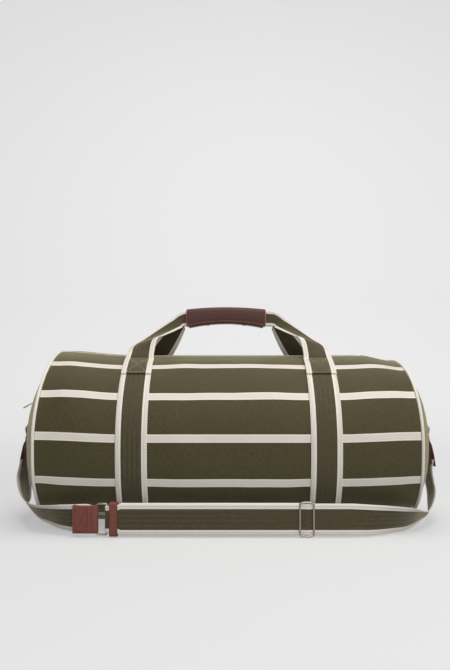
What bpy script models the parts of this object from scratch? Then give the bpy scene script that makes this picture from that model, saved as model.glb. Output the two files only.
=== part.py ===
"""Weekender bag: a soft striped canvas holdall with webbing handles and a shoulder strap.

Metres, +Z up. X runs along the bag and the front faces -Y.
The bag stands on its two webbing bands at z = 0.
"""
import bpy
import bmesh
from math import cos, sin, pi, radians, copysign
from mathutils import Matrix, Vector

# ---------------------------------------------------------------- driving dimensions
HALF_LENGTH = 0.274        # middle of the bag to the rim of an end
RADIUS = 0.140             # the round upper half, and the front-to-back half depth
LOWER_HALF = 0.119         # axis to underside
SQUARENESS = 2.7           # how boxy the filled lower half is
END_LIFT = 0.008           # the ends curve up off the floor
LIFT_START = 0.165
RIM_LEAN = 0.010           # each rim leans in at the top
DOME = 0.038               # how far an end panel bulges
AXIS_Y = 0.0072            # the strap lies in front, so the body sits a little behind the origin
CANVAS = 0.0024
GAP = 0.0004               # clearance between touching pieces
END_RIM = 0.955            # share of the section that an end panel reaches, inside its piping

WEBBING = 0.045            # body bands and handles
WEB_THICK = 0.0016
BAND_X = 0.138             # middle of each body band
BAND_OUT = 0.0020          # outer face of a band above the canvas
MOUTH_HALF_X = 0.217
MOUTH_HALF_Y = 0.040
MOUTH_ANGLES = (73.85, 86.9)     # degrees up from the front, from the edge of the mouth to the zip tape
TAPE_ANGLES = (87.2, 89.35)      # the tapes stop short of the middle, so they pass each other as they open
TRACK_Z = 0.192            # middle of the zip slider's run on the left end
SLIDER_REST_Z = 0.182
TAIL_BOTTOM = 0.166        # the zip tape runs down each end to here
TAIL_TOP = 0.2545
FLAT_STEP = 7.5            # degrees between the sides of the tube
FLAT_UNDER = sin(radians(90 - FLAT_STEP)) ** (2 / SQUARENESS)
AXIS_Z = (LOWER_HALF + BAND_OUT) * FLAT_UNDER

PIPING_R = 0.0035
GRIP_X = -0.004
GRIP_HALF = 0.064
GRIP_BOTTOM = 0.3070
GRIP_TOP = 0.3365
GRIP_DEPTH = 0.022
GRIP_WALL = 0.0022
FLAP_THICK = 0.0018
STUD_SHIFT = 0.030         # press studs either side of the grip's middle
STUD_R = 0.0042

RING_X = HALF_LENGTH + GAP + DOME + 0.0125   # plane of each D-ring
RING_Z = 0.143
RING_R = 0.0145
RING_WIRE = 0.0015
TAB_HALF = 0.0115
LEATHER_FOLD = 0.0033      # radius of the strap leather's turn round a D-ring
STRAP_W = 0.044
STRAP_Y = -0.1438           # the strap stands on its edge in front of the bag
STRAP_Z = 0.0248
PLY = 0.0027               # half the distance between the strap's two layers
LOOP_X = -0.177            # rectangular ring in the strap
LOOP_HALF = 0.008
LEATHER = 0.0014           # strap ends, patch and side tabs
FOLDED_HALF = 0.0190       # half height of the strap where it passes through a ring
SLIDER_X = 0.1077
HANDLE_OUT = BAND_OUT + GAP + WEB_THICK / 2
END_Z = AXIS_Z + END_LIFT

COLOURS = {
    "olive_canvas": ((0.060, 0.052, 0.036), 0.85, 0.0),
    "webbing": ((0.085, 0.075, 0.055), 0.8, 0.0),
    "cream_cotton": ((0.80, 0.76, 0.68), 0.8, 0.0),
    "leather": ((0.10, 0.030, 0.026), 0.45, 0.0),
    "nickel": ((0.30, 0.27, 0.24), 0.3, 1.0),
    "zip_nylon": ((0.16, 0.15, 0.14), 0.6, 0.0),
    "lining": ((0.35, 0.31, 0.25), 0.9, 0.0),
    "board": ((0.05, 0.05, 0.05), 0.8, 0.0),
}


# ---------------------------------------------------------------- tools
def clear_scene():
    for item in list(bpy.data.objects):
        bpy.data.objects.remove(item, do_unlink=True)


def new_collection(name):
    group = bpy.data.collections.new(name)
    bpy.context.scene.collection.children.link(group)
    return group


def make_materials():
    made = {}
    for name, (colour, roughness, metallic) in COLOURS.items():
        material = bpy.data.materials.new(name)
        material.use_nodes = True
        shader = material.node_tree.nodes["Principled BSDF"]
        shader.inputs["Base Color"].default_value = (*colour, 1.0)
        shader.inputs["Roughness"].default_value = roughness
        shader.inputs["Metallic"].default_value = metallic
        made[name] = material
    return made


clear_scene()
PARTS = new_collection("weekender_bag")
CUTTERS = new_collection("cutters")
MATERIALS = make_materials()


def add_object(name, data, finish):
    """Put new geometry in the parts collection with its own copy of a finish."""
    item = bpy.data.objects.new(name, data)
    PARTS.objects.link(item)
    material = MATERIALS[finish].copy()
    material.name = name + "_finish"
    data.materials.append(material)
    return item


def surface(name, rows, finish, thickness, closed=False):
    """Loft open rows of points into a sheet and give it a thickness, half on each side."""
    shape = bmesh.new()
    grid = [[shape.verts.new(point) for point in row] for row in rows]
    for lower, upper in zip(grid, grid[1:]):
        count = len(lower)
        for i in range(count if closed else count - 1):
            j = (i + 1) % count
            shape.faces.new((lower[i], lower[j], upper[j], upper[i]))
    mesh = bpy.data.meshes.new(name)
    shape.to_mesh(mesh)
    shape.free()
    item = add_object(name, mesh, finish)
    wall = item.modifiers.new("wall", "SOLIDIFY")
    wall.thickness = thickness
    wall.offset = 0.0
    return item


def wire(name, points, radius, finish, cyclic=False, sides=2):
    """A round wire or cord along straight runs between points."""
    curve = bpy.data.curves.new(name, "CURVE")
    curve.dimensions = "3D"
    curve.bevel_depth = radius
    curve.bevel_resolution = sides
    curve.use_fill_caps = True
    run = curve.splines.new("POLY")
    run.points.add(len(points) - 1)
    for spot, point in zip(run.points, points):
        spot.co = (*point, 1.0)
    run.use_cyclic_u = cyclic
    return add_object(name, curve, finish)


def box_mesh(name, low, high):
    low = Vector(low)
    high = Vector(high)
    middle = (low + high) / 2
    shape = bmesh.new()
    bmesh.ops.create_cube(shape, size=1.0)
    for vert in shape.verts:
        vert.co = vert.co * (high - low) + middle
    mesh = bpy.data.meshes.new(name)
    shape.to_mesh(mesh)
    shape.free()
    return mesh


def cutter_block(name, low, high):
    """A hidden box that only cuts."""
    item = bpy.data.objects.new(name, box_mesh(name, low, high))
    CUTTERS.objects.link(item)
    item.hide_render = True
    item.display_type = "WIRE"
    return item


def block(name, low, high, finish, bevel=0.0):
    """A box between two corners, with rounded edges if a bevel is given."""
    item = add_object(name, box_mesh(name, low, high), finish)
    if bevel:
        edge = item.modifiers.new("edges", "BEVEL")
        edge.width = bevel
        edge.segments = 2
    return item


def rod(name, start, end, radius, finish, sides=16):
    """A plain round pin between two points."""
    start = Vector(start)
    end = Vector(end)
    shape = bmesh.new()
    bmesh.ops.create_cone(shape, cap_ends=True, segments=sides, radius1=radius, radius2=radius,
                          depth=(end - start).length)
    turn = (end - start).to_track_quat("Z", "Y").to_matrix().to_4x4()
    bmesh.ops.transform(shape, matrix=Matrix.Translation((start + end) / 2) @ turn, verts=shape.verts)
    mesh = bpy.data.meshes.new(name)
    shape.to_mesh(mesh)
    shape.free()
    return add_object(name, mesh, finish)


def cut(item, cutter):
    hole = item.modifiers.new("cut_" + cutter.name, "BOOLEAN")
    hole.operation = "DIFFERENCE"
    hole.object = cutter


def spread(start, end, count):
    return [start + (end - start) * i / (count - 1) for i in range(count)]


def round_angles():
    """Angles round the section, from the front up and over, as 0 to 180 and then below zero."""
    angles = [FLAT_STEP * i for i in range(int(360 / FLAT_STEP))]
    return [a if a <= 180 else a - 360 for a in angles]


# ---------------------------------------------------------------- form of the bag
def section(angle, grow=0.0):
    """Y and Z of the outline, with the angle in degrees up from the front."""
    across = cos(radians(angle))
    up = sin(radians(angle))
    if up >= 0:
        return -(RADIUS + grow) * across, (RADIUS + grow) * up
    power = 2 / SQUARENESS
    return (-copysign(abs(across) ** power, across) * (RADIUS + grow),
            -min(abs(up) ** power, FLAT_UNDER) * (LOWER_HALF + grow))


def lift(x):
    return END_LIFT * (max(0.0, abs(x) - LIFT_START) / (HALF_LENGTH - LIFT_START)) ** 2


def lean(z):
    return 1 - RIM_LEAN / HALF_LENGTH * max(0.0, z / RADIUS) ** 2


def body_point(x, angle, grow=0.0):
    y, z = section(angle, grow)
    return Vector((x * lean(z), AXIS_Y + y, AXIS_Z + lift(x) + z))


def dome_x(height, reach):
    """X of an end panel at a height above its centre and a reach from 0 at the centre to 1 at the rim."""
    return HALF_LENGTH * lean(height) + GAP + DOME * (1 - reach ** 2.6)


def dome_at(z):
    """X of an end panel on its middle line at height z, for the upper half."""
    return dome_x(z - END_Z, abs(z - END_Z) / RADIUS)


# ---------------------------------------------------------------- body
def make_body():
    stations = spread(-HALF_LENGTH, -LIFT_START, 4) + spread(-0.11, 0.11, 5)
    stations += spread(LIFT_START, HALF_LENGTH, 4)
    rows = [[body_point(x, a, -CANVAS / 2) for a in round_angles()] for x in stations]
    body = surface("body_canvas", rows, "olive_canvas", CANVAS, closed=True)
    cut(body, cutter_block("mouth_cutter", (-MOUTH_HALF_X, AXIS_Y - MOUTH_HALF_Y, 0.20),
                           (MOUTH_HALF_X, AXIS_Y + MOUTH_HALF_Y, 0.30)))
    block("base_board", (-0.195, AXIS_Y - 0.070, 0.0128), (0.195, AXIS_Y + 0.070, 0.0153), "board")


def make_ends():
    for side, name in ((-1, "left"), (1, "right")):
        rows = []
        for reach in (END_RIM, 0.88, 0.76, 0.60, 0.40, 0.20, 0.06):
            ring = []
            for angle in round_angles():
                y, z = section(angle)
                x = side * (dome_x(z * reach, reach) - CANVAS / 2)
                ring.append(Vector((x, AXIS_Y + y * reach, END_Z + z * reach)))
            rows.append(ring)
        panel = surface(name + "_end_panel", rows, "olive_canvas", CANVAS, closed=True)
        mesh = panel.data
        shape = bmesh.new()
        shape.from_mesh(mesh)
        hub = [e for e in shape.edges if e.is_boundary and e.calc_length() < 0.004]
        bmesh.ops.holes_fill(shape, edges=hub, sides=0)
        bmesh.ops.recalc_face_normals(shape, faces=shape.faces)
        shape.to_mesh(mesh)
        shape.free()
        rim = []
        for angle in round_angles():
            y, z = section(angle, -GAP)
            x = side * (HALF_LENGTH * lean(z) + PIPING_R + GAP)
            rim.append(Vector((x, AXIS_Y + y, END_Z + z)))
        wire(name + "_piping", rim, PIPING_R, "cream_cotton", cyclic=True)


def make_bands():
    angles = [57.5] + [52.5 - FLAT_STEP * i for i in range(39)] + [-237.5]
    middle = BAND_OUT - WEB_THICK / 2
    for side, name in ((-1, "left"), (1, "right")):
        rows = []
        for angle in angles:
            wrapped = angle if angle > -180 else angle + 360
            y, z = section(wrapped, middle)
            rows.append([Vector((side * BAND_X + dx, AXIS_Y + y, AXIS_Z + z))
                         for dx in (-WEBBING / 2, WEBBING / 2)])
        surface(name + "_band", rows, "webbing", WEB_THICK)


# ---------------------------------------------------------------- mouth and zip
def make_mouth():
    reach = (MOUTH_HALF_X - 0.0008) / lean(RADIUS)
    stations = spread(-reach, reach, 9)
    pieces = (("mouth_panel", spread(*MOUTH_ANGLES, 4), "olive_canvas"), ("zip_tape", TAPE_ANGLES, "zip_nylon"))
    for side, name in ((1, "front"), (-1, "back")):
        for piece, angles, finish in pieces:
            turned = [a if side > 0 else 180 - a for a in angles]
            rows = [[body_point(x, a, -CANVAS / 2) for a in turned] for x in stations]
            surface(name + "_" + piece, rows, finish, CANVAS)
    for side, name in ((-1, "left"), (1, "right")):
        rows = []
        for z in spread(TAIL_BOTTOM, TAIL_TOP, 8):
            x = side * (dome_at(z) + 0.0018)
            rows.append([Vector((x, AXIS_Y + dy, z)) for dy in (-0.009, 0.009)])
        surface(name + "_zip_tail", rows, "zip_nylon", 0.0010)


def track_frame():
    """Middle point and upward direction of the line that the zip slider runs along."""
    step = 0.002
    slope = (dome_at(TRACK_Z + step) - dome_at(TRACK_Z - step)) / (2 * step)
    up = Vector((-slope, 0.0, 1.0)).normalized()
    out = Vector((-up.z, 0.0, up.x))
    middle = Vector((-dome_at(TRACK_Z), AXIS_Y, TRACK_Z)) + out * 0.0030
    return middle, up, out


def make_zip_slider():
    middle, up, out = track_frame()
    place = middle + up * ((SLIDER_REST_Z - TRACK_Z) / up.z)
    turn = Matrix((out, Vector((0, 1, 0)), up)).transposed().to_4x4()
    slider = block("zip_slider", (0.0, -0.0045, -0.006), (0.0034, 0.0045, 0.006), "nickel", 0.0008)
    slider.matrix_world = Matrix.Translation(place) @ turn
    pivot = place + out * 0.0056
    reach = Vector((-0.883, 0.0, -0.469))
    wide = Vector((0, 1, 0))
    rows = []
    for along, half in ((0.0, 0.0026), (0.004, 0.0030), (0.014, 0.0036), (0.0185, 0.0032), (0.0200, 0.0018)):
        rows.append([pivot + reach * along - wide * half, pivot + reach * along + wide * half])
    surface("zip_pull", rows, "nickel", 0.0014)


# ---------------------------------------------------------------- handles and grip
def smooth_path(points, per_span):
    """Catmull-Rom curve through hand-placed points."""
    result = []
    last = len(points) - 1
    for i in range(last):
        a = points[max(i - 1, 0)]
        b = points[i]
        c = points[i + 1]
        d = points[min(i + 2, last)]
        for step in range(per_span):
            t = step / per_span
            result.append(0.5 * (2 * b + (c - a) * t + (2 * a - 5 * b + 4 * c - d) * t * t
                                 + (3 * b - a - 3 * c + d) * t ** 3))
    result.append(points[last])
    return result


# The left half of each handle: outer and inner edge, with Y from the bag's own middle towards the handle's side
# as minus. The front one bends up from its sewn end. The back one is slacker and leans in towards the grip.
GRIP_START = GRIP_X - GRIP_HALF
IN_GRIP_HIGH = ((GRIP_START, -0.0055, 0.3318), (GRIP_X, -0.0055, 0.3325))
IN_GRIP_LOW = ((GRIP_START, -0.0055, 0.3098), (GRIP_X, -0.0055, 0.3098))
HANDLES = {
    "front": (1, (49, 55, 61, 67),
              ((-0.1575, -0.0500, 0.2600), (-0.1550, -0.0350, 0.2705), (-0.1400, -0.0280, 0.2815),
               (-0.1200, -0.0190, 0.2980), (-0.0950, -0.0110, 0.3165)) + IN_GRIP_HIGH,
              ((-0.1155, -0.0520, 0.2610), (-0.1110, -0.0430, 0.2845), (-0.1000, -0.0340, 0.2910),
               (-0.0850, -0.0200, 0.2990), (-0.0750, -0.0110, 0.3050)) + IN_GRIP_LOW),
    "back": (-1, (49, 55),
             ((-0.1540, -0.0700, 0.2490), (-0.1430, -0.0520, 0.2660), (-0.1300, -0.0380, 0.2810),
              (-0.1100, -0.0220, 0.3010), (-0.0880, -0.0110, 0.3190)) + IN_GRIP_HIGH,
             ((-0.1110, -0.0740, 0.2465), (-0.1000, -0.0570, 0.2590), (-0.0915, -0.0440, 0.2680),
              (-0.0800, -0.0250, 0.2860), (-0.0715, -0.0110, 0.3030)) + IN_GRIP_LOW),
}


def handle_edge(sewn_x, angles, points):
    """One edge of a handle's left half, from its sewn end to the middle of the grip."""
    edge = [body_point(sewn_x, angle, HANDLE_OUT) for angle in angles]
    edge += [Vector((x, AXIS_Y + y, z)) for x, y, z in points]
    return smooth_path(edge, 3)


def to_right(point):
    """The grip is mirrored about its own middle, and the rest of a handle about the bag's."""
    in_grip = abs(point.x) < abs(GRIP_START) + 0.002
    return Vector((2 * GRIP_X - point.x if in_grip else -point.x, point.y, point.z))


def make_handles():
    for name, (side, angles, high, low) in HANDLES.items():
        left = list(zip(handle_edge(-BAND_X - WEBBING / 2, angles, high),
                        handle_edge(-BAND_X + WEBBING / 2, angles, low)))
        rows = left + [(to_right(outer), to_right(inner)) for outer, inner in left][-2::-1]
        flipped = [[Vector((p.x, AXIS_Y + side * (p.y - AXIS_Y), p.z)) for p in row] for row in rows]
        surface(name + "_handle", flipped, "webbing", WEB_THICK)


def make_grip():
    low = GRIP_X - GRIP_HALF
    high = GRIP_X + GRIP_HALF
    half = GRIP_DEPTH / 2
    wrap = block("grip_wrap", (low, AXIS_Y - half, GRIP_BOTTOM), (high, AXIS_Y + half, GRIP_TOP), "leather", 0.004)
    cut(wrap, cutter_block("grip_cutter", (low - 0.01, AXIS_Y - half + GRIP_WALL, GRIP_BOTTOM - 0.01),
                           (high + 0.01, AXIS_Y + half - GRIP_WALL, GRIP_TOP - GRIP_WALL)))
    top = GRIP_BOTTOM - GAP
    underside = top - FLAP_THICK
    block("grip_flap", (low + 0.004, AXIS_Y - half + 0.0005, underside), (high - 0.004, AXIS_Y + half, top),
          "leather")
    for shift, name in ((-STUD_SHIFT, "left"), (STUD_SHIFT, "right")):
        x = GRIP_X + shift
        y = AXIS_Y - half + 0.0065
        rod("grip_stud_" + name, (x, y, top - 0.0036), (x, y, underside - GAP), STUD_R, "nickel")


# ---------------------------------------------------------------- end tabs, rings and strap ends
def fold_rows(z, radius, half):
    """Rows of a strip's half turn round a bar along Y at height z: over it, or under it if radius is negative."""
    rows = []
    for angle in spread(0.0, pi, 7):
        rows.append((Vector((RING_X - abs(radius) * cos(angle), AXIS_Y, z + radius * sin(angle))), half))
    return rows


def strip(name, rows, finish, thickness, mirror):
    points = []
    for centre, half in rows:
        points.append([Vector((mirror * centre.x, centre.y + dy, centre.z)) for dy in (-half, half)])
    surface(name, points, finish, thickness)


def make_end_hardware():
    peak = dome_at(TAIL_BOTTOM)
    tab_radius = RING_WIRE + GAP + LEATHER / 2
    for mirror, name in ((-1, "left"), (1, "right")):
        rows = [(Vector((peak + 0.0023, AXIS_Y, 0.1640)), TAB_HALF)]
        rows += fold_rows(RING_Z, -tab_radius, TAB_HALF)
        rows += [(Vector((peak + 0.0052, AXIS_Y, 0.1600)), TAB_HALF)]
        strip(name + "_side_tab", rows, "webbing", LEATHER, mirror)
        ring = [Vector((mirror * RING_X, AXIS_Y + RING_R * cos(a), RING_Z - RING_R * sin(a)))
                for a in [pi * i / 14 for i in range(15)]]
        wire(name + "_ring", ring, RING_WIRE, "nickel", cyclic=True)
        inner = ((0.0040, 0.0820, 0.0200), (0.0016, 0.1000, 0.0175), (-0.0012, 0.1160, 0.0100))
        outer = ((0.0056, 0.1160, 0.0100), (0.0072, 0.1000, 0.0175), (0.0092, 0.0820, 0.0200))
        rows = [(Vector((RING_X + dx, AXIS_Y, z)), half) for dx, z, half in inner]
        rows += fold_rows(RING_Z - RING_R, LEATHER_FOLD, 0.005)
        rows += [(Vector((RING_X + dx, AXIS_Y, z)), half) for dx, z, half in outer]
        strip(name + "_strap_leather", rows, "leather", LEATHER, mirror)


# Middle points of the strap's curved end, and the direction across it, from the leather down to the floor.
STRAP_END = (
    ((RING_X + 0.0057, AXIS_Y, 0.0920), (0.00, -1.00, 0.00)),
    ((RING_X + 0.0069, AXIS_Y - 0.002, 0.0780), (-0.04, -1.00, 0.06)),
    ((RING_X + 0.0060, AXIS_Y - 0.012, 0.0600), (-0.08, -0.97, 0.20)),
    ((RING_X + 0.0005, AXIS_Y - 0.042, 0.0410), (-0.08, -0.85, 0.50)),
    ((0.3130, AXIS_Y - 0.085, 0.0310), (-0.03, -0.60, 0.80)),
    ((0.2910, AXIS_Y - 0.123, 0.0265), (0.00, -0.35, 0.94)),
    ((0.2580, AXIS_Y - 0.146, 0.0252), (0.00, -0.12, 0.99)),
    ((0.2220, STRAP_Y, STRAP_Z), (0.00, 0.00, 1.00)),
)


def strap_end_rows(mirror, layer_y):
    middles = [Vector(p) for p, _ in STRAP_END]
    across = [Vector(a).normalized() for _, a in STRAP_END]
    middles[-1] = Vector((middles[-1].x, layer_y, middles[-1].z))
    middles = smooth_path(middles, 3)
    across = [v.normalized() for v in smooth_path(across, 3)]
    rows = []
    for point, way in zip(middles, across):
        half = way * STRAP_W / 2
        rows.append([Vector((mirror * p.x, p.y, p.z)) for p in (point - half, point + half)])
    return rows


def standing_rows(spots, half):
    return [[Vector((x, y, STRAP_Z - half)), Vector((x, y, STRAP_Z + half))] for x, y in spots]


def bar_fold(x, radius, turn):
    """Half circle round an upright bar at x, from the front layer to the back layer."""
    return [(x + turn * radius * sin(pi * i / 6), STRAP_Y - radius * cos(pi * i / 6)) for i in range(7)]


def make_strap():
    left_bar = LOOP_X - LOOP_HALF
    right_bar = LOOP_X + LOOP_HALF
    rows = strap_end_rows(-1, STRAP_Y) + standing_rows([(-0.205, STRAP_Y), (-0.191, STRAP_Y)], FOLDED_HALF)
    surface("strap_left_webbing", rows, "webbing", WEB_THICK)

    patch = [(-0.217, STRAP_Y - PLY), (-0.200, STRAP_Y - PLY)] + bar_fold(left_bar, PLY, 1)
    patch += [(-0.200, STRAP_Y + PLY), (-0.217, STRAP_Y + PLY)]
    surface("strap_patch", standing_rows(patch, FOLDED_HALF + 0.0005), "leather", LEATHER)

    tall = 0.0214
    corners = [(left_bar, -tall + 0.003), (left_bar, tall - 0.003), (left_bar + 0.001, tall - 0.001),
               (left_bar + 0.003, tall), (right_bar - 0.003, tall), (right_bar - 0.001, tall - 0.001),
               (right_bar, tall - 0.003), (right_bar, -tall + 0.003), (right_bar - 0.001, -tall + 0.001),
               (right_bar - 0.003, -tall), (left_bar + 0.003, -tall), (left_bar + 0.001, -tall + 0.001)]
    wire("strap_ring", [Vector((x, STRAP_Y, STRAP_Z + z)) for x, z in corners], 0.0014, "nickel", cyclic=True)

    front = STRAP_Y - PLY
    back = STRAP_Y + PLY
    rows = strap_end_rows(1, front)
    rows += standing_rows([(0.19, front), (0.13, front), (0.06, front), (0.0, front), (-0.08, front),
                           (-0.150, front)], STRAP_W / 2)
    rows += standing_rows([(-0.166, front)] + bar_fold(right_bar, PLY, -1) + [(-0.166, back)], FOLDED_HALF)
    rows += standing_rows([(-0.150, back), (-0.08, back), (0.0, back), (0.06, back), (0.104, back)], STRAP_W / 2)
    surface("strap_right_webbing", rows, "webbing", WEB_THICK)

    keeper = block("strap_keeper", (-0.1660, front - 2 * LEATHER, STRAP_Z - 0.0238),
                   (-0.1545, back + 2 * LEATHER, STRAP_Z + 0.0238), "leather", 0.0004)
    cut(keeper, cutter_block("keeper_cutter", (-0.18, front - LEATHER, STRAP_Z - 0.0224),
                             (-0.14, back + LEATHER, STRAP_Z + 0.0224)))

    face = front - WEB_THICK / 2 - GAP
    frame = block("strap_slider", (SLIDER_X - 0.011, face - 0.0026, 0.0), (SLIDER_X + 0.011, face + 0.0026, 0.0504),
                  "nickel", 0.0006)
    cut(frame, cutter_block("slider_window", (SLIDER_X - 0.0082, face - 0.01, 0.0024),
                            (SLIDER_X + 0.0082, face + 0.01, 0.0480)))
    cut(frame, cutter_block("slider_channel", (SLIDER_X - 0.02, face, 0.0024),
                            (SLIDER_X + 0.02, face + 0.01, 0.0480)))
    bar_y = STRAP_Y + 0.0002
    rod("strap_slider_bar", (SLIDER_X, bar_y, 0.0006), (SLIDER_X, bar_y, 0.0498), 0.0012, "nickel")


make_body()
make_ends()
make_bands()
make_mouth()
make_zip_slider()
make_handles()
make_grip()
make_end_hardware()
make_strap()
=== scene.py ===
# %% [markdown]
# # A striped canvas weekender bag
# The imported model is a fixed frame. It knows where every part is and how it moves. This lesson dresses that
# frame in canvas, webbing, leather and metal. It starts by loading the frame and noting its size.

# %% Load the frame
import bpy
import bmesh
from math import cos, sin, pi, radians, copysign, sqrt
from mathutils import Matrix, Vector, noise


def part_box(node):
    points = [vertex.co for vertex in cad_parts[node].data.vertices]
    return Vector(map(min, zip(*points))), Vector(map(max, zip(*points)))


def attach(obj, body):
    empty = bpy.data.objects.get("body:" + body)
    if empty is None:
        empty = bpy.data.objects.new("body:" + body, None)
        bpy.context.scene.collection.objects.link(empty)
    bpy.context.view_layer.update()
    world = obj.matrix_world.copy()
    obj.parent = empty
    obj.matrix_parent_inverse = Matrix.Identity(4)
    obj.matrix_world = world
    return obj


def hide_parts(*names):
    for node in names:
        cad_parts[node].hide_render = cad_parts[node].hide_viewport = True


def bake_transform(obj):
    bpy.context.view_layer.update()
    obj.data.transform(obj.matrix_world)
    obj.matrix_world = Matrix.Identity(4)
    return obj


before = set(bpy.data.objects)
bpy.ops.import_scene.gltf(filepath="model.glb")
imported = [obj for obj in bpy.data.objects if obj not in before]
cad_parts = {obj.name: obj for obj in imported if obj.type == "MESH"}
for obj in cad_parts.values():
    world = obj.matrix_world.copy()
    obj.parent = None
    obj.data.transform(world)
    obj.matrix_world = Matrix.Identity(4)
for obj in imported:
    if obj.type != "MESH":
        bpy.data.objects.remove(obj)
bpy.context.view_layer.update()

# %% [markdown]
# ## Measures
# The main sizes come from the boxes of the frame's own parts, so the soft pieces always fit it. The form of
# the bag is one formula: a round upper half, a squarer filled lower half, ends that lift off the floor and
# rims that lean in at the top. Every piece that lies on the bag asks this formula where it goes. Lengths
# are in metres, and the angles round the bag in degrees.

# %% The bag's own measures
body_low, body_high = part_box("body_canvas")
band_low, band_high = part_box("right_band")
ring_low, ring_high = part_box("right_ring")
loop_low, loop_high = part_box("strap_ring")
grip_low, grip_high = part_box("grip_wrap")
slider_low, slider_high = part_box("strap_slider")
keeper_low, keeper_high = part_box("strap_keeper")

HALF_LENGTH = body_high[0]
RADIUS = (body_high[1] - body_low[1]) / 2
AXIS_Y = (body_high[1] + body_low[1]) / 2
LOWER_HALF = 0.119
SQUARENESS = 2.7
BAND_OUT = 0.0020
FLOOR_ANGLE = 82.5
FLAT_UNDER = sin(radians(FLOOR_ANGLE)) ** (2 / SQUARENESS)
AXIS_Z = (LOWER_HALF + BAND_OUT) * FLAT_UNDER
END_LIFT = 0.008
LIFT_START = 0.165
RIM_LEAN = 0.010
RIGHT_INSET = 0.0035
DOME = 0.038
DOME_FULLNESS = 2.6
GAP = 0.0004
CANVAS = 0.0016
WEBBING = band_high[0] - band_low[0]
BAND_X = (band_high[0] + band_low[0]) / 2
WEB_THICK = 0.0016
MOUTH_HALF_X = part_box("front_mouth_panel")[1][0]
MOUTH_START = 73.85


def section(angle, grow=0.0):
    """Y and Z of the bag's outline, with the angle in degrees up from the front."""
    across = cos(radians(angle))
    up = sin(radians(angle))
    if up >= 0:
        return -(RADIUS + grow) * across, (RADIUS + grow) * up
    power = 2 / SQUARENESS
    return (-copysign(abs(across) ** power, across) * (RADIUS + grow),
            -min(abs(up) ** power, FLAT_UNDER) * (LOWER_HALF + grow))


def smooth(low, high, value):
    """0 below low, 1 above high, and an even slope between them."""
    t = min(1.0, max(0.0, (value - low) / (high - low)))
    return t * t * (3 - 2 * t)


def lift(x, z):
    """The ends rise off the floor. Higher up they keep less of that rise, and the right end's top droops."""
    end = END_LIFT * (max(0.0, abs(x) - LIFT_START) / (HALF_LENGTH - LIFT_START)) ** 2
    reach = smooth(0.150, HALF_LENGTH, abs(x))
    top = max(0.0, z / RADIUS) ** 4
    upper = 0.0040 * reach + 0.0030 * reach * top
    if x > 0:
        droop = 0.0085 * smooth(0.215, HALF_LENGTH, x) * top
        upper = 0.0035 * reach * (1 - top) - droop
    share = smooth(-0.10, -0.03, z)
    return end + (upper - end) * share


def end_inset(side, z):
    """How far a rim stands in from the full half length: more at the top, and more on the emptier right."""
    return RIM_LEAN * max(0.0, z / RADIUS) ** 2 + (RIGHT_INSET if side > 0 else 0.0)


def drawn_in(x, z):
    """X of a body point after its rim has been drawn in. The middle of the bag keeps its place."""
    side = 1 if x > 0 else -1
    return x - side * end_inset(side, z) * (abs(x) / HALF_LENGTH) ** 4


def slump(x, angle):
    """Soft waves of filled canvas: none at the rims, the mouth or under the bag, and least at the bands."""
    y, z = section(angle)
    wave = noise.noise(Vector((x * 9.0, y * 11.0, z * 11.0 + 4.0)))
    wave += 0.45 * noise.noise(Vector((x * 23.0, y * 17.0 + 7.0, z * 17.0)))
    at_rim = 1 - smooth(0.235, 0.268, abs(x))
    at_band = smooth(0.0, 0.055, abs(abs(x) - BAND_X) - WEBBING / 2)
    at_mouth = smooth(16.0, 32.0, abs(angle - 90)) if angle > 0 else 1.0
    under = smooth(-0.112, -0.085, z)
    fill = 0.0016 * at_band * at_rim
    return (wave * 0.0024 * (0.25 + 0.75 * at_band) * at_rim + fill) * at_mouth * under


def settled(x, y, z):
    """The place in the frame of a point of the plain form: drawn in at the rims, and lifted at the ends."""
    return Vector((drawn_in(x, z), AXIS_Y + y, AXIS_Z + lift(x, z) + z))


def bag_point(x, angle, grow=0.0):
    """A point on the canvas, or that far outside it, at an angle in degrees up from the front."""
    return settled(x, *section(angle, grow + slump(x, angle)))


def to_side(point, side):
    """The same point for side 1, or its mirror image behind the middle line for side -1."""
    return Vector((point.x, AXIS_Y + side * (point.y - AXIS_Y), point.z))


def spread(start, end, count):
    """Evenly spaced values from start to end."""
    return [start + (end - start) * i / (count - 1) for i in range(count)]


print("half length", HALF_LENGTH, "radius", RADIUS, "band at", BAND_X, "webbing", WEBBING)

# %% [markdown]
# ## Camera
# The bag stands on a pale sweep and the camera looks level from just above half its height. Shift, and not
# tilt, puts the bag low in the upright frame, so its verticals stay vertical.

# %% Camera
CAMERA_BACK = 1.029
CAMERA_HEIGHT = 0.203
bpy.ops.object.select_all(action="DESELECT")
bpy.ops.object.camera_add(location=(-0.0057, AXIS_Y - CAMERA_BACK, CAMERA_HEIGHT), rotation=(pi / 2, 0, 0))
camera = bpy.context.object
camera.data.lens = 33.96
camera.data.sensor_width = 36.0
camera.data.shift_y = 0.0833
camera.data.clip_start = 0.01
bpy.context.scene.camera = camera

# %% [markdown]
# ## Colours and node helper
# Colours are written as the hex values that a person picks, and one function turns them into the linear
# values that shaders work in. One small function adds any node with its settings and links.

# %% Material helpers
def hexa(code):
    """sRGB hex to linear RGBA."""
    out = []
    for i in (0, 2, 4):
        c = int(code[i:i + 2], 16) / 255
        out.append(c / 12.92 if c <= 0.04045 else ((c + 0.055) / 1.055) ** 2.4)
    return (*out, 1.0)


def add_node(tree, kind, settings=None, **inputs):
    """One node of a kind, with its settings, and each input given a value or a link from another socket."""
    item = tree.nodes.new(kind)
    for key, value in (settings or {}).items():
        setattr(item, key, value)
    for key, value in inputs.items():
        socket = item.inputs[int(key[2:])] if key.startswith("in") else item.inputs[key.replace("_", " ")]
        if isinstance(value, bpy.types.NodeSocket):
            tree.links.new(value, socket)
        else:
            socket.default_value = value
    return item


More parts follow.
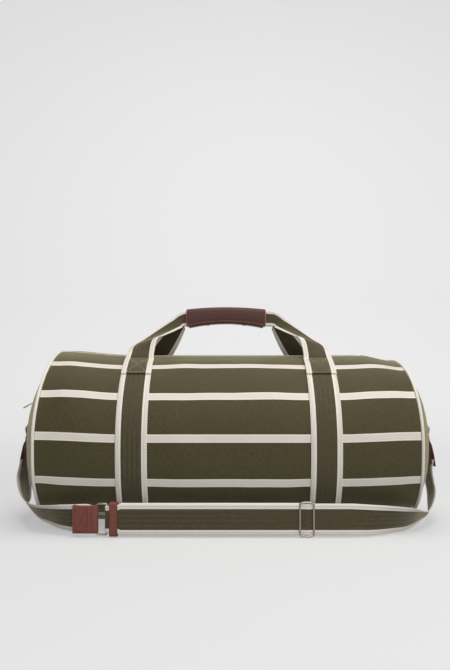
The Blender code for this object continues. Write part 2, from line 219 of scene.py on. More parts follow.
def math(tree, operation, a, b=0.0, c=0.0):
    return add_node(tree, "ShaderNodeMath", {"operation": operation}, in0=a, in1=b, in2=c).outputs[0]


def mix(tree, factor, a, b, blend="MIX"):
    kind = {"data_type": "RGBA", "blend_type": blend}
    return add_node(tree, "ShaderNodeMix", kind, in0=factor, in6=a, in7=b).outputs[2]


def fine_noise(tree, coords, scale, detail=2.0):
    """Noise laid out in the piece's own metres."""
    return add_node(tree, "ShaderNodeTexNoise", None, Vector=coords.outputs["Object"], Scale=scale,
                    Detail=detail).outputs[0]


def new_finish(name, roughness, metallic=0.0, ior=1.5, sheen=0.0, tint="ffffff"):
    material = bpy.data.materials.new(name)
    material.use_nodes = True
    shader = material.node_tree.nodes["Principled BSDF"]
    shader.inputs["Roughness"].default_value = roughness
    shader.inputs["Metallic"].default_value = metallic
    shader.inputs["IOR"].default_value = ior
    shader.inputs["Sheen Weight"].default_value = sheen
    shader.inputs["Sheen Roughness"].default_value = 0.4
    shader.inputs["Sheen Tint"].default_value = hexa(tint)
    shader.inputs["Specular Tint"].default_value = hexa(tint)
    return material, material.node_tree, shader


def add_bump(tree, shader, height, strength, distance):
    bump = add_node(tree, "ShaderNodeBump", None, Strength=strength, Distance=distance, Height=height)
    tree.links.new(bump.outputs[0], shader.inputs["Normal"])


# %% [markdown]
# ## Canvas
# The body is heavy cotton canvas, yarn-dyed olive with a woven cream stripe every 63 mm. Piece UVs are laid
# out in metres, so one stripe formula runs unbroken over the body and the mouth. A real thread is about
# 0.7 mm apart. The weave is drawn at 1.6 mm, because anything finer vanishes at this distance.

# %% Woven canvas finish
STRIPE_PITCH = 0.063
STRIPE_HALF = 0.0058
FIRST_STRIPE = 0.0154
CANVAS_WEAVE = 0.0016


def weave(tree, u, v, pitch):
    """Height of a plain weave, from two crossed ripples that take turns on top."""
    along = math(tree, "SINE", math(tree, "MULTIPLY", u, 2 * pi / pitch))
    across = math(tree, "SINE", math(tree, "MULTIPLY", v, 2 * pi / pitch))
    return math(tree, "MULTIPLY", along, across)


def uv_axes(tree):
    coords = add_node(tree, "ShaderNodeTexCoord")
    split = add_node(tree, "ShaderNodeSeparateXYZ", None, in0=coords.outputs["UV"])
    return coords, split.outputs[0], split.outputs[1]


def yarn_variation(tree, coords, u_stretch, v_stretch, scale):
    """Slubs and uneven dye, stretched along one set of threads."""
    spread_out = add_node(tree, "ShaderNodeMapping", None, Vector=coords.outputs["UV"],
                          Scale=(u_stretch, v_stretch, 1.0))
    return add_node(tree, "ShaderNodeTexNoise", None, Vector=spread_out.outputs[0], Scale=scale,
                    Detail=3.0).outputs[0]


def make_canvas(name, striped):
    material, tree, shader = new_finish(name, 0.52, ior=1.62, sheen=1.0, tint="d8cfa0")
    coords, u, v = uv_axes(tree)
    warp = yarn_variation(tree, coords, 170.0, 1500.0, 1.0)
    weft = yarn_variation(tree, coords, 1500.0, 170.0, 1.0)
    cloud = yarn_variation(tree, coords, 9.0, 9.0, 1.0)
    threads = math(tree, "ADD", math(tree, "MULTIPLY", warp, 0.5), math(tree, "MULTIPLY", weft, 0.5))
    tone = add_node(tree, "ShaderNodeValToRGB", None, in0=threads)
    tone.color_ramp.elements[0].position = 0.42
    tone.color_ramp.elements[0].color = hexa("2a2517")
    tone.color_ramp.elements[1].position = 0.60
    tone.color_ramp.elements[1].color = hexa("473f2b")
    olive = mix(tree, math(tree, "MULTIPLY", cloud, 0.35), tone.outputs[0], hexa("332d1e"))
    colour = olive
    if striped:
        shifted = math(tree, "SUBTRACT", math(tree, "ABSOLUTE", v), FIRST_STRIPE - STRIPE_PITCH / 2)
        place = math(tree, "SUBTRACT", math(tree, "MODULO", shifted, STRIPE_PITCH), STRIPE_PITCH / 2)
        off = math(tree, "ABSOLUTE", place)
        edge_noise = math(tree, "MULTIPLY", math(tree, "SUBTRACT", weft, 0.5), 0.0006)
        inside = math(tree, "LESS_THAN", math(tree, "ADD", off, edge_noise), STRIPE_HALF)
        rim = math(tree, "GREATER_THAN", off, STRIPE_HALF * 0.74)
        cream = mix(tree, rim, hexa("e9e1d9"), hexa("f6f0e8"))
        cream = mix(tree, math(tree, "MULTIPLY", threads, 0.16), cream, hexa("c5baac"))
        colour = mix(tree, inside, olive, cream)
    tree.links.new(colour, shader.inputs["Base Color"])
    height = math(tree, "ADD", weave(tree, u, v, CANVAS_WEAVE), math(tree, "MULTIPLY", threads, 1.2))
    add_bump(tree, shader, height, 0.35, 0.0004)
    return material


canvas = make_canvas("yarn_dyed_canvas", True)
plain_canvas = make_canvas("plain_olive_canvas", False)


def make_lining():
    """Thin plain-woven cotton drill inside the bag."""
    material, tree, shader = new_finish("cotton_lining", 0.9)
    coords, u, v = uv_axes(tree)
    threads = yarn_variation(tree, coords, 300.0, 900.0, 1.0)
    colour = mix(tree, threads, hexa("8f8468"), hexa("a89c80"))
    tree.links.new(colour, shader.inputs["Base Color"])
    add_bump(tree, shader, weave(tree, u, v, 0.0014), 0.3, 0.0003)
    return material


lining = make_lining()

# %% [markdown]
# ## Webbing
# Handles, bands and strap are one herringbone cotton webbing, about 45 mm wide, olive with cream edges. Its
# UV runs along the strip in U and from edge to edge in V, with zero on the middle line, both in metres.

# %% Webbing finish
CREAM_EDGE = 0.0080
GROOVE_IN = 0.0042
HERRINGBONE = 0.0035
RIB = 0.0018


def make_webbing():
    material, tree, shader = new_finish("herringbone_webbing", 0.52, ior=1.60, sheen=0.8, tint="d6caa6")
    coords, u, v = uv_axes(tree)
    warp = yarn_variation(tree, coords, 120.0, 1300.0, 1.0)
    weft = yarn_variation(tree, coords, 1300.0, 150.0, 1.0)
    threads = math(tree, "ADD", math(tree, "MULTIPLY", warp, 0.55), math(tree, "MULTIPLY", weft, 0.45))
    tone = add_node(tree, "ShaderNodeValToRGB", None, in0=threads)
    tone.color_ramp.elements[0].position = 0.36
    tone.color_ramp.elements[0].color = hexa("332c20")
    tone.color_ramp.elements[1].position = 0.66
    tone.color_ramp.elements[1].color = hexa("4c4534")
    away = math(tree, "ABSOLUTE", v)
    cream_part = math(tree, "GREATER_THAN", away, WEBBING / 2 - CREAM_EDGE)
    from_groove = math(tree, "ABSOLUTE", math(tree, "SUBTRACT", away, WEBBING / 2 - GROOVE_IN))
    groove = math(tree, "LESS_THAN", from_groove, 0.0010)
    cream = mix(tree, math(tree, "MULTIPLY", groove, 0.5), hexa("f6f0e8"), hexa("d5cabf"))
    cream = mix(tree, math(tree, "MULTIPLY", threads, 0.15), cream, hexa("c0b4a5"))
    tree.links.new(mix(tree, cream_part, tone.outputs[0], cream), shader.inputs["Base Color"])
    # Herringbone: the ribs slant one way, then the other, every 7 mm across the strip.
    zigzag = math(tree, "PINGPONG", v, HERRINGBONE)
    ribs = math(tree, "SINE", math(tree, "MULTIPLY", math(tree, "ADD", u, zigzag), 2 * pi / RIB))
    height = math(tree, "ADD", ribs, math(tree, "MULTIPLY", threads, 1.5))
    add_bump(tree, shader, height, 0.4, 0.0004)
    return material


webbing_finish = make_webbing()


def make_cotton(name, light, dark, rib):
    """Twisted or woven plain cotton, for piping and zip tape. rib is the spacing of its ribs in metres."""
    material, tree, shader = new_finish(name, 0.85, sheen=0.1)
    coords, u, v = uv_axes(tree)
    fibre = yarn_variation(tree, coords, 500.0, 500.0, 1.0)
    tree.links.new(mix(tree, fibre, hexa(dark), hexa(light)), shader.inputs["Base Color"])
    ribs = math(tree, "SINE", math(tree, "MULTIPLY", math(tree, "ADD", u, v), 2 * pi / rib))
    add_bump(tree, shader, math(tree, "ADD", ribs, fibre), 0.3, 0.0003)
    return material


piping_cotton = make_cotton("cream_piping_cotton", "f8f3ea", "e2d9cc", 0.0016)
zip_tape = make_cotton("woven_zip_tape", "a39c90", "857d70", 0.0011)
thread = make_cotton("cream_sewing_thread", "d9cfb6", "a89a7c", 0.0006)
dark_thread = make_cotton("dark_sewing_thread", "55302a", "3a1d18", 0.0006)

# %% [markdown]
# ## Leather
# The grip, patch and keeper are smooth, full-grain cow leather, red-brown, with a soft waxed shine. Fine
# pores are about half a millimetre. They are bumped with a cell pattern, and broad noise varies dye and wax.

# %% Leather finish
def make_leather(name, deep, warm, roughness):
    material, tree, shader = new_finish(name, roughness, ior=1.40)
    coords = add_node(tree, "ShaderNodeTexCoord")
    cells = add_node(tree, "ShaderNodeTexVoronoi", {"feature": "DISTANCE_TO_EDGE"},
                     Vector=coords.outputs["Object"], Scale=1100.0)
    broad = fine_noise(tree, coords, 70.0, 4.0)
    fine = fine_noise(tree, coords, 420.0, 3.0)
    tint = math(tree, "ADD", math(tree, "MULTIPLY", broad, 0.7), math(tree, "MULTIPLY", fine, 0.3))
    tree.links.new(mix(tree, tint, hexa(deep), hexa(warm)), shader.inputs["Base Color"])
    shine = math(tree, "ADD", math(tree, "MULTIPLY", broad, 0.25), roughness - 0.12)
    tree.links.new(shine, shader.inputs["Roughness"])
    height = math(tree, "ADD", math(tree, "MULTIPLY", cells.outputs[0], 1.2), fine)
    add_bump(tree, shader, height, 0.25, 0.0004)
    return material


grip_leather = make_leather("waxed_grip_leather", "381812", "572a21", 0.50)
patch_leather = make_leather("red_brown_leather", "6b372d", "864c40", 0.5)
edge_leather = make_leather("cut_leather_edge", "8a5546", "b98274", 0.7)


def make_nickel(name, colour, roughness):
    """Cast zinc with warm, brushed nickel plate. Faint wear streaks break up its shine."""
    material, tree, shader = new_finish(name, roughness, metallic=1.0)
    coords = add_node(tree, "ShaderNodeTexCoord")
    streaks = fine_noise(tree, coords, 600.0, 4.0)
    tree.links.new(mix(tree, math(tree, "MULTIPLY", streaks, 0.4), hexa(colour), hexa("6f665c")),
                   shader.inputs["Base Color"])
    tree.links.new(math(tree, "ADD", math(tree, "MULTIPLY", streaks, 0.2), roughness - 0.08),
                   shader.inputs["Roughness"])
    add_bump(tree, shader, streaks, 0.06, 0.0002)
    return material


nickel = make_nickel("warm_nickel_plate", "a39a90", 0.24)
dark_nickel = make_nickel("dark_nickel_plate", "4b4540", 0.34)


def make_board():
    """Black polypropylene board with a fine moulded grain, under the lining."""
    material, tree, shader = new_finish("moulded_base_board", 0.6)
    coords = add_node(tree, "ShaderNodeTexCoord")
    grain = fine_noise(tree, coords, 900.0)
    tree.links.new(mix(tree, grain, hexa("1f1e1c"), hexa("34322e")), shader.inputs["Base Color"])
    add_bump(tree, shader, grain, 0.2, 0.0003)
    return material


board_plastic = make_board()

# %% [markdown]
# ## Sewing tools
# Flat goods start as a grid primitive. Each vertex is carried to its place by a formula, as cloth is laid on
# a form, and the UV keeps the flat cloth's own metres. A strip such as webbing needs a rounded section, so
# its grid is wrapped round a flat oval, closed, and capped at both ends.

# %% Grid, strip and tube helpers
def select_only(item):
    bpy.ops.object.select_all(action="DESELECT")
    item.select_set(True)
    bpy.context.view_layer.objects.active = item


def laid_grid(name, nu, nv, place, flat):
    """A grid of nu by nv points. place(i, j) gives each point, and flat(i, j) its UV in metres."""
    bpy.ops.object.select_all(action="DESELECT")
    bpy.ops.mesh.primitive_grid_add(x_subdivisions=nu - 1, y_subdivisions=nv - 1, size=2, calc_uvs=True)
    item = bpy.context.object
    item.name = name
    item.data.name = name
    spots = []
    for vert in item.data.vertices:
        i = round((vert.co.x + 1) / 2 * (nu - 1))
        j = round((vert.co.y + 1) / 2 * (nv - 1))
        spots.append((i, j))
    layer = item.data.uv_layers.active.data
    for loop in item.data.loops:
        layer[loop.index].uv = flat(*spots[loop.vertex_index])
    for vert, (i, j) in zip(item.data.vertices, spots):
        vert.co = place(i, j)
    return item


def edit(item, *steps):
    """Run edit-mode steps on the whole mesh."""
    select_only(item)
    bpy.ops.object.mode_set(mode="EDIT")
    bpy.ops.mesh.select_all(action="SELECT")
    for step in steps:
        step()
    bpy.ops.object.mode_set(mode="OBJECT")


def weld():
    bpy.ops.mesh.remove_doubles(threshold=0.00002)


def face_out():
    bpy.ops.mesh.normals_make_consistent(inside=False)


def cap_ends():
    bpy.ops.mesh.select_all(action="DESELECT")
    bpy.ops.mesh.select_non_manifold(extend=False, use_wire=False, use_multi_face=False,
                                     use_non_contiguous=False, use_verts=False)
    bpy.ops.mesh.fill_holes(sides=0)
    bpy.ops.mesh.select_all(action="SELECT")


def finish_piece(item, material, body, replaced=(), angle=35, inner=None):
    """Give a piece its finish, hang it on the empty of the body it rides on, and hide the frame parts it
    replaces.
    """
    item.data.materials.append(material)
    if inner:
        item.data.materials.append(inner)
    select_only(item)
    bpy.ops.object.shade_smooth_by_angle(angle=radians(angle))
    if body:
        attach(item, body)
    if replaced:
        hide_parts(*replaced)
    return item


def thicken(item, thickness, inner=False):
    """Turn a sheet into cloth with a thickness, inwards. inner gives its inside the second finish."""
    select_only(item)
    wall = item.modifiers.new("wall", "SOLIDIFY")
    wall.thickness = thickness
    wall.offset = -1.0
    if inner:
        wall.material_offset = 1
    bpy.ops.object.modifier_apply(modifier="wall")


def soften(item, width, angle=30):
    """Round off the sharp edges."""
    select_only(item)
    soft = item.modifiers.new("soft_edges", "BEVEL")
    soft.width = width
    soft.segments = 2
    soft.limit_method = "ANGLE"
    soft.angle_limit = radians(angle)
    bpy.ops.object.modifier_apply(modifier="soft_edges")


def turn_outward(item, away_from):
    """Flip an open sheet so that its faces look away from a point function's result."""
    total = sum((f.center - away_from(f.center)).dot(f.normal) for f in item.data.polygons)
    if total < 0:
        item.data.flip_normals()


def bag_axis(point):
    return Vector((point.x, AXIS_Y, AXIS_Z))


def lengths(points):
    """Distance walked along the points, up to each of them."""
    out = [0.0]
    for a, b in zip(points, points[1:]):
        out.append(out[-1] + (b - a).length)
    return out


def strip_profile(thickness, steps):
    """Flat oval section: (share across from -1 to 1, offset along the normal), once round."""
    half = thickness / 2
    shares = [cos(pi * i / steps) for i in range(steps + 1)]
    front = [(s, half * min(1.0, sqrt(max(0.0, 1 - s * s)) * 3.2)) for s in shares]
    back = [(s, -h) for s, h in front[-2:0:-1]]
    return front + back


def strip(name, rows, thickness, material, body, replaced=(), steps=12, edges=None, angle=50):
    """Webbing or leather between two edge lines. rows are (edge, edge) pairs, edges the V of each edge."""
    middles = [(a + b) / 2 for a, b in rows]
    run = lengths(middles)
    profile = strip_profile(thickness, steps)
    profile.append(profile[0])
    last = len(rows) - 1

    def normal(i):
        ahead = middles[min(i + 1, last)] - middles[max(i - 1, 0)]
        return (rows[i][1] - rows[i][0]).cross(ahead).normalized()

    normals = [normal(i) for i in range(len(rows))]

    def place(i, j):
        share, height = profile[j]
        a, b = rows[i]
        return (a + b) / 2 + (b - a) / 2 * share + normals[i] * height

    def flat(i, j):
        low, high = edges[i] if edges else (-(rows[i][1] - rows[i][0]).length / 2,
                                            (rows[i][1] - rows[i][0]).length / 2)
        return run[i], (low + high) / 2 + (high - low) / 2 * profile[j][0]

    item = laid_grid(name, len(rows), len(profile), place, flat)
    edit(item, weld, cap_ends, face_out)
    return finish_piece(item, material, body, replaced, angle)


def tube(name, points, radius, material, body, replaced=(), sides=12, cyclic=True):
    """Round cord or wire along points."""
    ring = points + [points[0]] if cyclic else points
    run = lengths(ring)
    count = len(ring)
    frames = []
    for i in range(count):
        if cyclic:
            ahead = ring[(i + 1) % (count - 1)] - ring[(i - 1) % (count - 1)]
        else:
            ahead = ring[min(i + 1, count - 1)] - ring[max(i - 1, 0)]
        ahead.normalize()
        if frames:
            side = frames[-1][0] - ahead * frames[-1][0].dot(ahead)
        else:
            side = ahead.orthogonal()
        side.normalize()
        frames.append((side, ahead.cross(side)))
    if cyclic:
        frames[-1] = frames[0]

    def place(i, j):
        angle = 2 * pi * j / sides
        side, up = frames[i]
        return ring[i] + (side * cos(angle) + up * sin(angle)) * radius

    item = laid_grid(name, count, sides + 1, place, lambda i, j: (run[i], 2 * pi * radius * j / sides))
    steps = (weld, face_out) if cyclic else (weld, cap_ends, face_out)
    edit(item, *steps)
    return finish_piece(item, material, body, replaced, 60)


def smooth_path(points, per_span):
    """A curve through given points."""
    result = []
    last = len(points) - 1
    for i in range(last):
        a = points[max(i - 1, 0)]
        b = points[i]
        c = points[i + 1]
        d = points[min(i + 2, last)]
        for step in range(per_span):
            t = step / per_span
            result.append(0.5 * (2 * b + (c - a) * t + (2 * a - 5 * b + 4 * c - d) * t * t
                                 + (3 * b - a - 3 * c + d) * t ** 3))
    result.append(points[last])
    return result


# %% [markdown]
# ## Stitches
# A lockstitch shows as short, plump threads with a gap between them. One stitch is modelled from a small
# sphere, drawn out, and copied along each seam. Real stitches are 3 mm. These are a little thicker than
# the real thread, so that they still read from across a room.

# %% Stitch helper
def take_shape(model):
    """Keep a model's mesh, and remove the model."""
    shape = model.data.copy()
    bpy.data.objects.remove(model, do_unlink=True)
    return shape


def copies(name, shape, turns, material, body, angle):
    """One piece made of copies of a small shape, one for each 4 by 4 matrix in turns."""
    joined = bmesh.new()
    for turn in turns:
        before = len(joined.verts)
        joined.from_mesh(shape)
        joined.verts.ensure_lookup_table()
        bmesh.ops.transform(joined, matrix=turn, verts=joined.verts[before:])
    mesh = bpy.data.meshes.new(name)
    joined.to_mesh(mesh)
    joined.free()
    item = bpy.data.objects.new(name, mesh)
    bpy.context.scene.collection.objects.link(item)
    return finish_piece(item, material, body, (), angle)


def turned_to(spot, along, across, up):
    """The matrix that carries a unit shape to a spot, with its three axes given as vectors."""
    return Matrix.Translation(spot) @ Matrix((along, across, up)).transposed().to_4x4()


bpy.ops.object.select_all(action="DESELECT")
bpy.ops.mesh.primitive_uv_sphere_add(segments=6, ring_count=4, radius=1.0, calc_uvs=True)
stitch_shape = take_shape(bpy.context.object)


def stitches(name, seams, material, body, long=0.0032, gap=0.0013, thick=0.0004):
    """seams is a list of (points, normals): each seam line is walked, and a stitch set down at each step."""
    turns = []
    for points, normals in seams:
        run = lengths(points)
        at = gap
        while at + long < run[-1]:
            middle = at + long / 2
            k = max(i for i in range(len(run)) if run[i] <= middle)
            k = min(k, len(points) - 2)
            t = (middle - run[k]) / max(1e-9, run[k + 1] - run[k])
            spot = points[k].lerp(points[k + 1], t)
            way = (points[k + 1] - points[k]).normalized()
            up = normals[k].normalized()
            side = up.cross(way).normalized()
            up = way.cross(side)
            turns.append(turned_to(spot, way * (long / 2), side * thick, up * thick * 0.7))
            at += long + gap
    return copies(name, stitch_shape, turns, material, body, 80)


# %% [markdown]
# ## Body
# The real body is one canvas panel, rolled into a tube and sewn to round ends. It is full, so its upper half
# is round, and its lower half settles square on the floor. The mouth is left out of the tube, because two
# panels beside the zip close it and have to open. The canvas gets its thickness last, lined on the inside.

# %% Body shell
def arc_lengths(angles):
    """Signed length round the section from the top, for stripes that match front to back."""
    out = {}
    for sign in (1, -1):
        run = 0.0
        last = section(90)
        path = [a for a in angles if (a - 90) * -sign >= 0]
        for angle in sorted(path, key=lambda a: abs(a - 90)):
            here = section(angle)
            run += sqrt((here[0] - last[0]) ** 2 + (here[1] - last[1]) ** 2)
            last = here
            out[angle] = sign * run
    return out


def undrawn(x):
    """The flat position along the canvas that comes to x on the bag's top line."""
    flat = x
    for _ in range(6):
        flat += x - drawn_in(flat, RADIUS)
    return flat


even_stations = [round(x, 5) for x in spread(-HALF_LENGTH, HALF_LENGTH, 97)]
stations = sorted(set(even_stations + [undrawn(-MOUTH_HALF_X), undrawn(MOUTH_HALF_X)]))
MOUTH_EDGE = MOUTH_START - 0.4
round_angles = sorted(set(spread(-90, 270, 145) + [MOUTH_EDGE, 180 - MOUTH_EDGE]))


def wrapped(angle):
    return angle if angle <= 180 else angle - 360


ARC = arc_lengths(round_angles)
nu, nv = len(stations), len(round_angles)
body_shell = laid_grid("body_shell", nu, nv,
                       lambda i, j: bag_point(stations[i], wrapped(round_angles[j])),
                       lambda i, j: (stations[i], ARC[round_angles[j]]))
cutting = bmesh.new()
cutting.from_mesh(body_shell.data)
edge_x = MOUTH_HALF_X - 0.0002  # a hair inside the opening's edge
open_y = -section(MOUTH_EDGE)[0]
mouth_faces = [f for f in cutting.faces
               if abs(f.calc_center_median().x) < edge_x and f.calc_center_median().z > AXIS_Z
               and abs(f.calc_center_median().y - AXIS_Y) < open_y]
bmesh.ops.delete(cutting, geom=mouth_faces, context="FACES")
cutting.to_mesh(body_shell.data)
cutting.free()
edit(body_shell, weld, face_out)
turn_outward(body_shell, bag_axis)
thicken(body_shell, CANVAS, inner=True)
finish_piece(body_shell, canvas, "bag", ("body_canvas",), 45, lining)
print("body shell", len(body_shell.data.polygons), "faces,", len(mouth_faces), "left out for the mouth")

# %% [markdown]
# ## Round ends
# Each end is a canvas disc that the load pushes outward. The grid is laid out in rings and spokes, pulled
# tight at the rim and domed in the middle, with faint puckers where the seam gathers it.

# %% End panels and piping
SPOKES = 96
RINGS = 18
PUCKERS = 40
RIM_WIRE = 0.0024


def dome_x(side, z, reach):
    return HALF_LENGTH - end_inset(side, z) + GAP + DOME * (1 - reach ** DOME_FULLNESS)


def end_point(side, reach, angle=90.0, out=0.0):
    """A point on an end: reach 0 is its middle and 1 its rim."""
    y, z = section(angle)
    return Vector((side * (dome_x(side, z * reach, reach) + out), AXIS_Y + y * reach,
                   AXIS_Z + lift(side * HALF_LENGTH, z * reach) + z * reach))


def ring_reach(i):
    return 0.012 + 0.958 * i / (RINGS - 1)


def spoke_angle(j):
    return wrapped(-90 + 360 * j / SPOKES)


def end_place(side):
    def place(i, j):
        reach = ring_reach(i)
        angle = spoke_angle(j)
        gather = 0.0006 * sin(radians(angle) * PUCKERS) * smooth(0.80, 0.97, reach)
        return end_point(side, reach, angle, gather)
    return place


def end_flat(i, j):
    y, z = section(spoke_angle(j))
    return y * ring_reach(i), z * ring_reach(i)


for side, name in ((-1, "left"), (1, "right")):
    hub = end_point(side, 0.0)
    disc = laid_grid(name + "_end_disc", RINGS, SPOKES + 1, end_place(side), end_flat)

    def close_hub():
        bpy.ops.mesh.select_all(action="DESELECT")
        shape = bmesh.from_edit_mesh(bpy.context.object.data)
        for vert in shape.verts:
            vert.select = abs(vert.co.y - AXIS_Y) < 0.004 and abs(vert.co.z - hub.z) < 0.004
        shape.select_flush(True)
        bmesh.update_edit_mesh(bpy.context.object.data)
        bpy.ops.mesh.merge(type="CENTER")
        bpy.ops.mesh.select_all(action="SELECT")

    edit(disc, weld, close_hub, face_out)
    turn_outward(disc, lambda p: Vector((0, p.y, p.z)))
    thicken(disc, CANVAS, inner=True)
    finish_piece(disc, plain_canvas, "bag", (name + "_end_panel",), 45, lining)

    rim = []
    for j in range(SPOKES):
        y, z = section(spoke_angle(j), -GAP)
        rim.append(Vector((side * (HALF_LENGTH - end_inset(side, z) + RIM_WIRE + GAP), AXIS_Y + y,
                           AXIS_Z + lift(side * HALF_LENGTH, z) + z)))
    tube(name + "_rim_piping", rim, RIM_WIRE, piping_cotton, "bag", (name + "_piping",))

# %% [markdown]
# ## Body bands
# Two webbing bands run right round the bag and carry its weight. They follow the same form a millimetre and
# a half above the canvas, which is pinched flat under them, and are sewn down along both edges.

# %% Bands
PROUD = 0.0003
band_angles = [57.5 - 2.5 * i for i in range(119)]


def band_rows(side, grow, share=1.0):
    rows = []
    for angle in band_angles:
        y, z = section(angle if angle > -180 else angle + 360, grow)
        rows.append([settled(side * BAND_X + edge * share * WEBBING / 2, y, z) for edge in (-1, 1)])
    return rows


for side, name in ((-1, "left"), (1, "right")):
    strip(name + "_body_band", band_rows(side, BAND_OUT - WEB_THICK / 2 + PROUD), WEB_THICK, webbing_finish,
          "bag", (name + "_band",))
    outer = band_rows(side, BAND_OUT + PROUD, 0.93)
    normals = [(row[0] - bag_axis(row[0])) for row in outer]
    stitches(name + "_band_stitches", [([row[k] for row in outer], normals) for k in (0, 1)], thread, "bag")

# %% [markdown]
# ## Mouth
# Two canvas panels meet at the zip on top. Each is a narrow part of the same form, so stripes and curve run
# on over the hinge line. The zip's teeth are one small block, copied along both tapes and offset by half.

# %% Mouth panels
mouth_stations = spread(undrawn(0.0004 - MOUTH_HALF_X), undrawn(MOUTH_HALF_X - 0.0004), 76)
for side, name in ((1, "front"), (-1, "back")):
    panel_angles = spread(MOUTH_START, 87.0, 8)
    laid_angles = [a if side > 0 else 180 - a for a in panel_angles]
    arcs = [side * radians(90 - a) * RADIUS for a in panel_angles]
    panel = laid_grid(name + "_mouth_canvas", len(mouth_stations), len(laid_angles),
                      lambda i, j: bag_point(mouth_stations[i], laid_angles[j]),
                      lambda i, j: (mouth_stations[i], arcs[j]))
    turn_outward(panel, bag_axis)
    thicken(panel, CANVAS, inner=True)
    finish_piece(panel, canvas, name + "_flap", (name + "_mouth_panel",), 45, lining)

# %% Zip tapes and teeth
TOOTH = 0.0026
TAIL_HALF = 0.010
TAIL_THICK = 0.0010


def teeth(name, spots, frames, body, size):
    """Copies of one rounded tooth block, each at a spot, turned by (along, across, up)."""
    bpy.ops.object.select_all(action="DESELECT")
    bpy.ops.mesh.primitive_cube_add(size=1.0)
    model = bpy.context.object
    edit(model, lambda: bpy.ops.mesh.bevel(offset=0.18, segments=1, affect="EDGES"))
    turns = [turned_to(spot, along * size[0], across * size[1], up * size[2])
             for spot, (along, across, up) in zip(spots, frames)]
    return copies(name, take_shape(model), turns, dark_nickel, body, 30)


for side, name in ((1, "front"), (-1, "back")):
    rows = []
    for x in mouth_stations:
        rows.append([bag_point(x, a if side > 0 else 180 - a, -0.0004) for a in (86.6, 89.2)])
    strip(name + "_zip_cloth", rows, 0.0009, zip_tape, name + "_flap", (name + "_zip_tape",), 6)
    count = int(2 * MOUTH_HALF_X / (2 * TOOTH)) - 2
    spots = []
    for k in range(count):
        x = -MOUTH_HALF_X + 0.004 + 2 * TOOTH * k + (TOOTH if side < 0 else 0)
        spots.append(bag_point(undrawn(x), 90) + Vector((0, -side * 0.0012, -0.0003)))
    axes = (Vector((1, 0, 0)), Vector((0, 1, 0)), Vector((0, 0, 1)))
    teeth(name + "_zip_teeth", spots, [axes] * count, name + "_flap", (TOOTH * 0.8, 0.0034, 0.0022))

for side, name in ((-1, "left"), (1, "right")):
    rows = []
    for reach in spread(0.30, 0.935, 30):
        p = end_point(side, reach, out=0.0008)
        rows.append([p + Vector((0, dy, 0)) for dy in (-TAIL_HALF, TAIL_HALF)])
    strip(name + "_end_zip_cloth", rows, TAIL_THICK, zip_tape, "bag", (name + "_zip_tail",), 8)
    shoulder = []
    for x in spread(MOUTH_HALF_X + 0.0006, HALF_LENGTH - 0.0120, 12):
        p = bag_point(undrawn(side * x), 90, -0.0001)
        shoulder.append([p + Vector((0, dy, -dy * dy * 3.6)) for dy in (-TAIL_HALF, TAIL_HALF)])
    strip(name + "_shoulder_zip_cloth", shoulder, TAIL_THICK, zip_tape, "bag", (), 8)
    spots = []
    frames = []
    line = [end_point(side, reach, out=0.0014) for reach in spread(0.32, 0.925, 33)]
    line.append(None)
    line += [bag_point(side * x, 90, 0.0002) for x in spread(MOUTH_HALF_X + 0.004, HALF_LENGTH - 0.013, 17)]
    for here, ahead in zip(line, line[1:]):
        if here and ahead:
            up = (ahead - here).normalized()
            spots.append(here)
            frames.append((up, Vector((0, 1, 0)), up.cross(Vector((0, 1, 0))) * side))
    teeth(name + "_end_zip_teeth", spots, frames, "bag", (TOOTH * 0.75, 0.0046, 0.0014))

# %% [markdown]
# ## Handles
# Each handle is one length of the same webbing. It lies flat on its band, where a box and cross of thread
# holds it, then bends up, twists towards the other handle and runs on edge through the leather grip. Two
# edge lines, drawn as smooth curves through a few points, give both the path and the twist. The webbing is
# narrower inside the grip, because it is folded there. The grip slides down when it is pressed, but the
# handles are not attached to the bag or the grip, and stay where they are drawn.

# %% Handles
GRIP_X = (grip_low[0] + grip_high[0]) / 2
GRIP_HALF = (grip_high[0] - grip_low[0]) / 2
GRIP_BOTTOM = grip_low[2]
HANDLE_OUT = BAND_OUT + GAP + WEB_THICK / 2
HANDLE_THICK = 0.0018
GRIP_START = GRIP_X - GRIP_HALF
ARCH_LOW = 0.0075
ARCH_TOP = 0.0035
IN_GRIP_HIGH = ((GRIP_START, -0.0055, 0.3322), (GRIP_X, -0.0055, 0.3325))
IN_GRIP_LOW = ((GRIP_START, -0.0055, 0.3085), (GRIP_X, -0.0055, 0.3090))
HANDLES = {
    "front": (1, (49, 55, 61, 67),
              ((-0.1575, -0.0500, 0.2600), (-0.1550, -0.0350, 0.2705), (-0.1400, -0.0280, 0.2815),
               (-0.1200, -0.0190, 0.2980), (-0.0950, -0.0110, 0.3165)) + IN_GRIP_HIGH,
              ((-0.1155, -0.0520, 0.2610), (-0.1110, -0.0430, 0.2845), (-0.1000, -0.0340, 0.2910),
               (-0.0850, -0.0200, 0.2990), (-0.0750, -0.0110, 0.3045)) + IN_GRIP_LOW),
    "back": (-1, (49, 55),
             ((-0.1540, -0.0700, 0.2490), (-0.1430, -0.0520, 0.2660), (-0.1300, -0.0380, 0.2810),
              (-0.1100, -0.0220, 0.3010), (-0.0880, -0.0110, 0.3190)) + IN_GRIP_HIGH,
             ((-0.1110, -0.0740, 0.2465), (-0.1000, -0.0570, 0.2590), (-0.0915, -0.0440, 0.2680),
              (-0.0800, -0.0250, 0.2860), (-0.0715, -0.0110, 0.3030)) + IN_GRIP_LOW),
}


def arch(x, rise):
    """The grip is bowed up in the middle."""
    return rise * max(0.0, 1 - ((x - GRIP_X) / GRIP_HALF) ** 2)


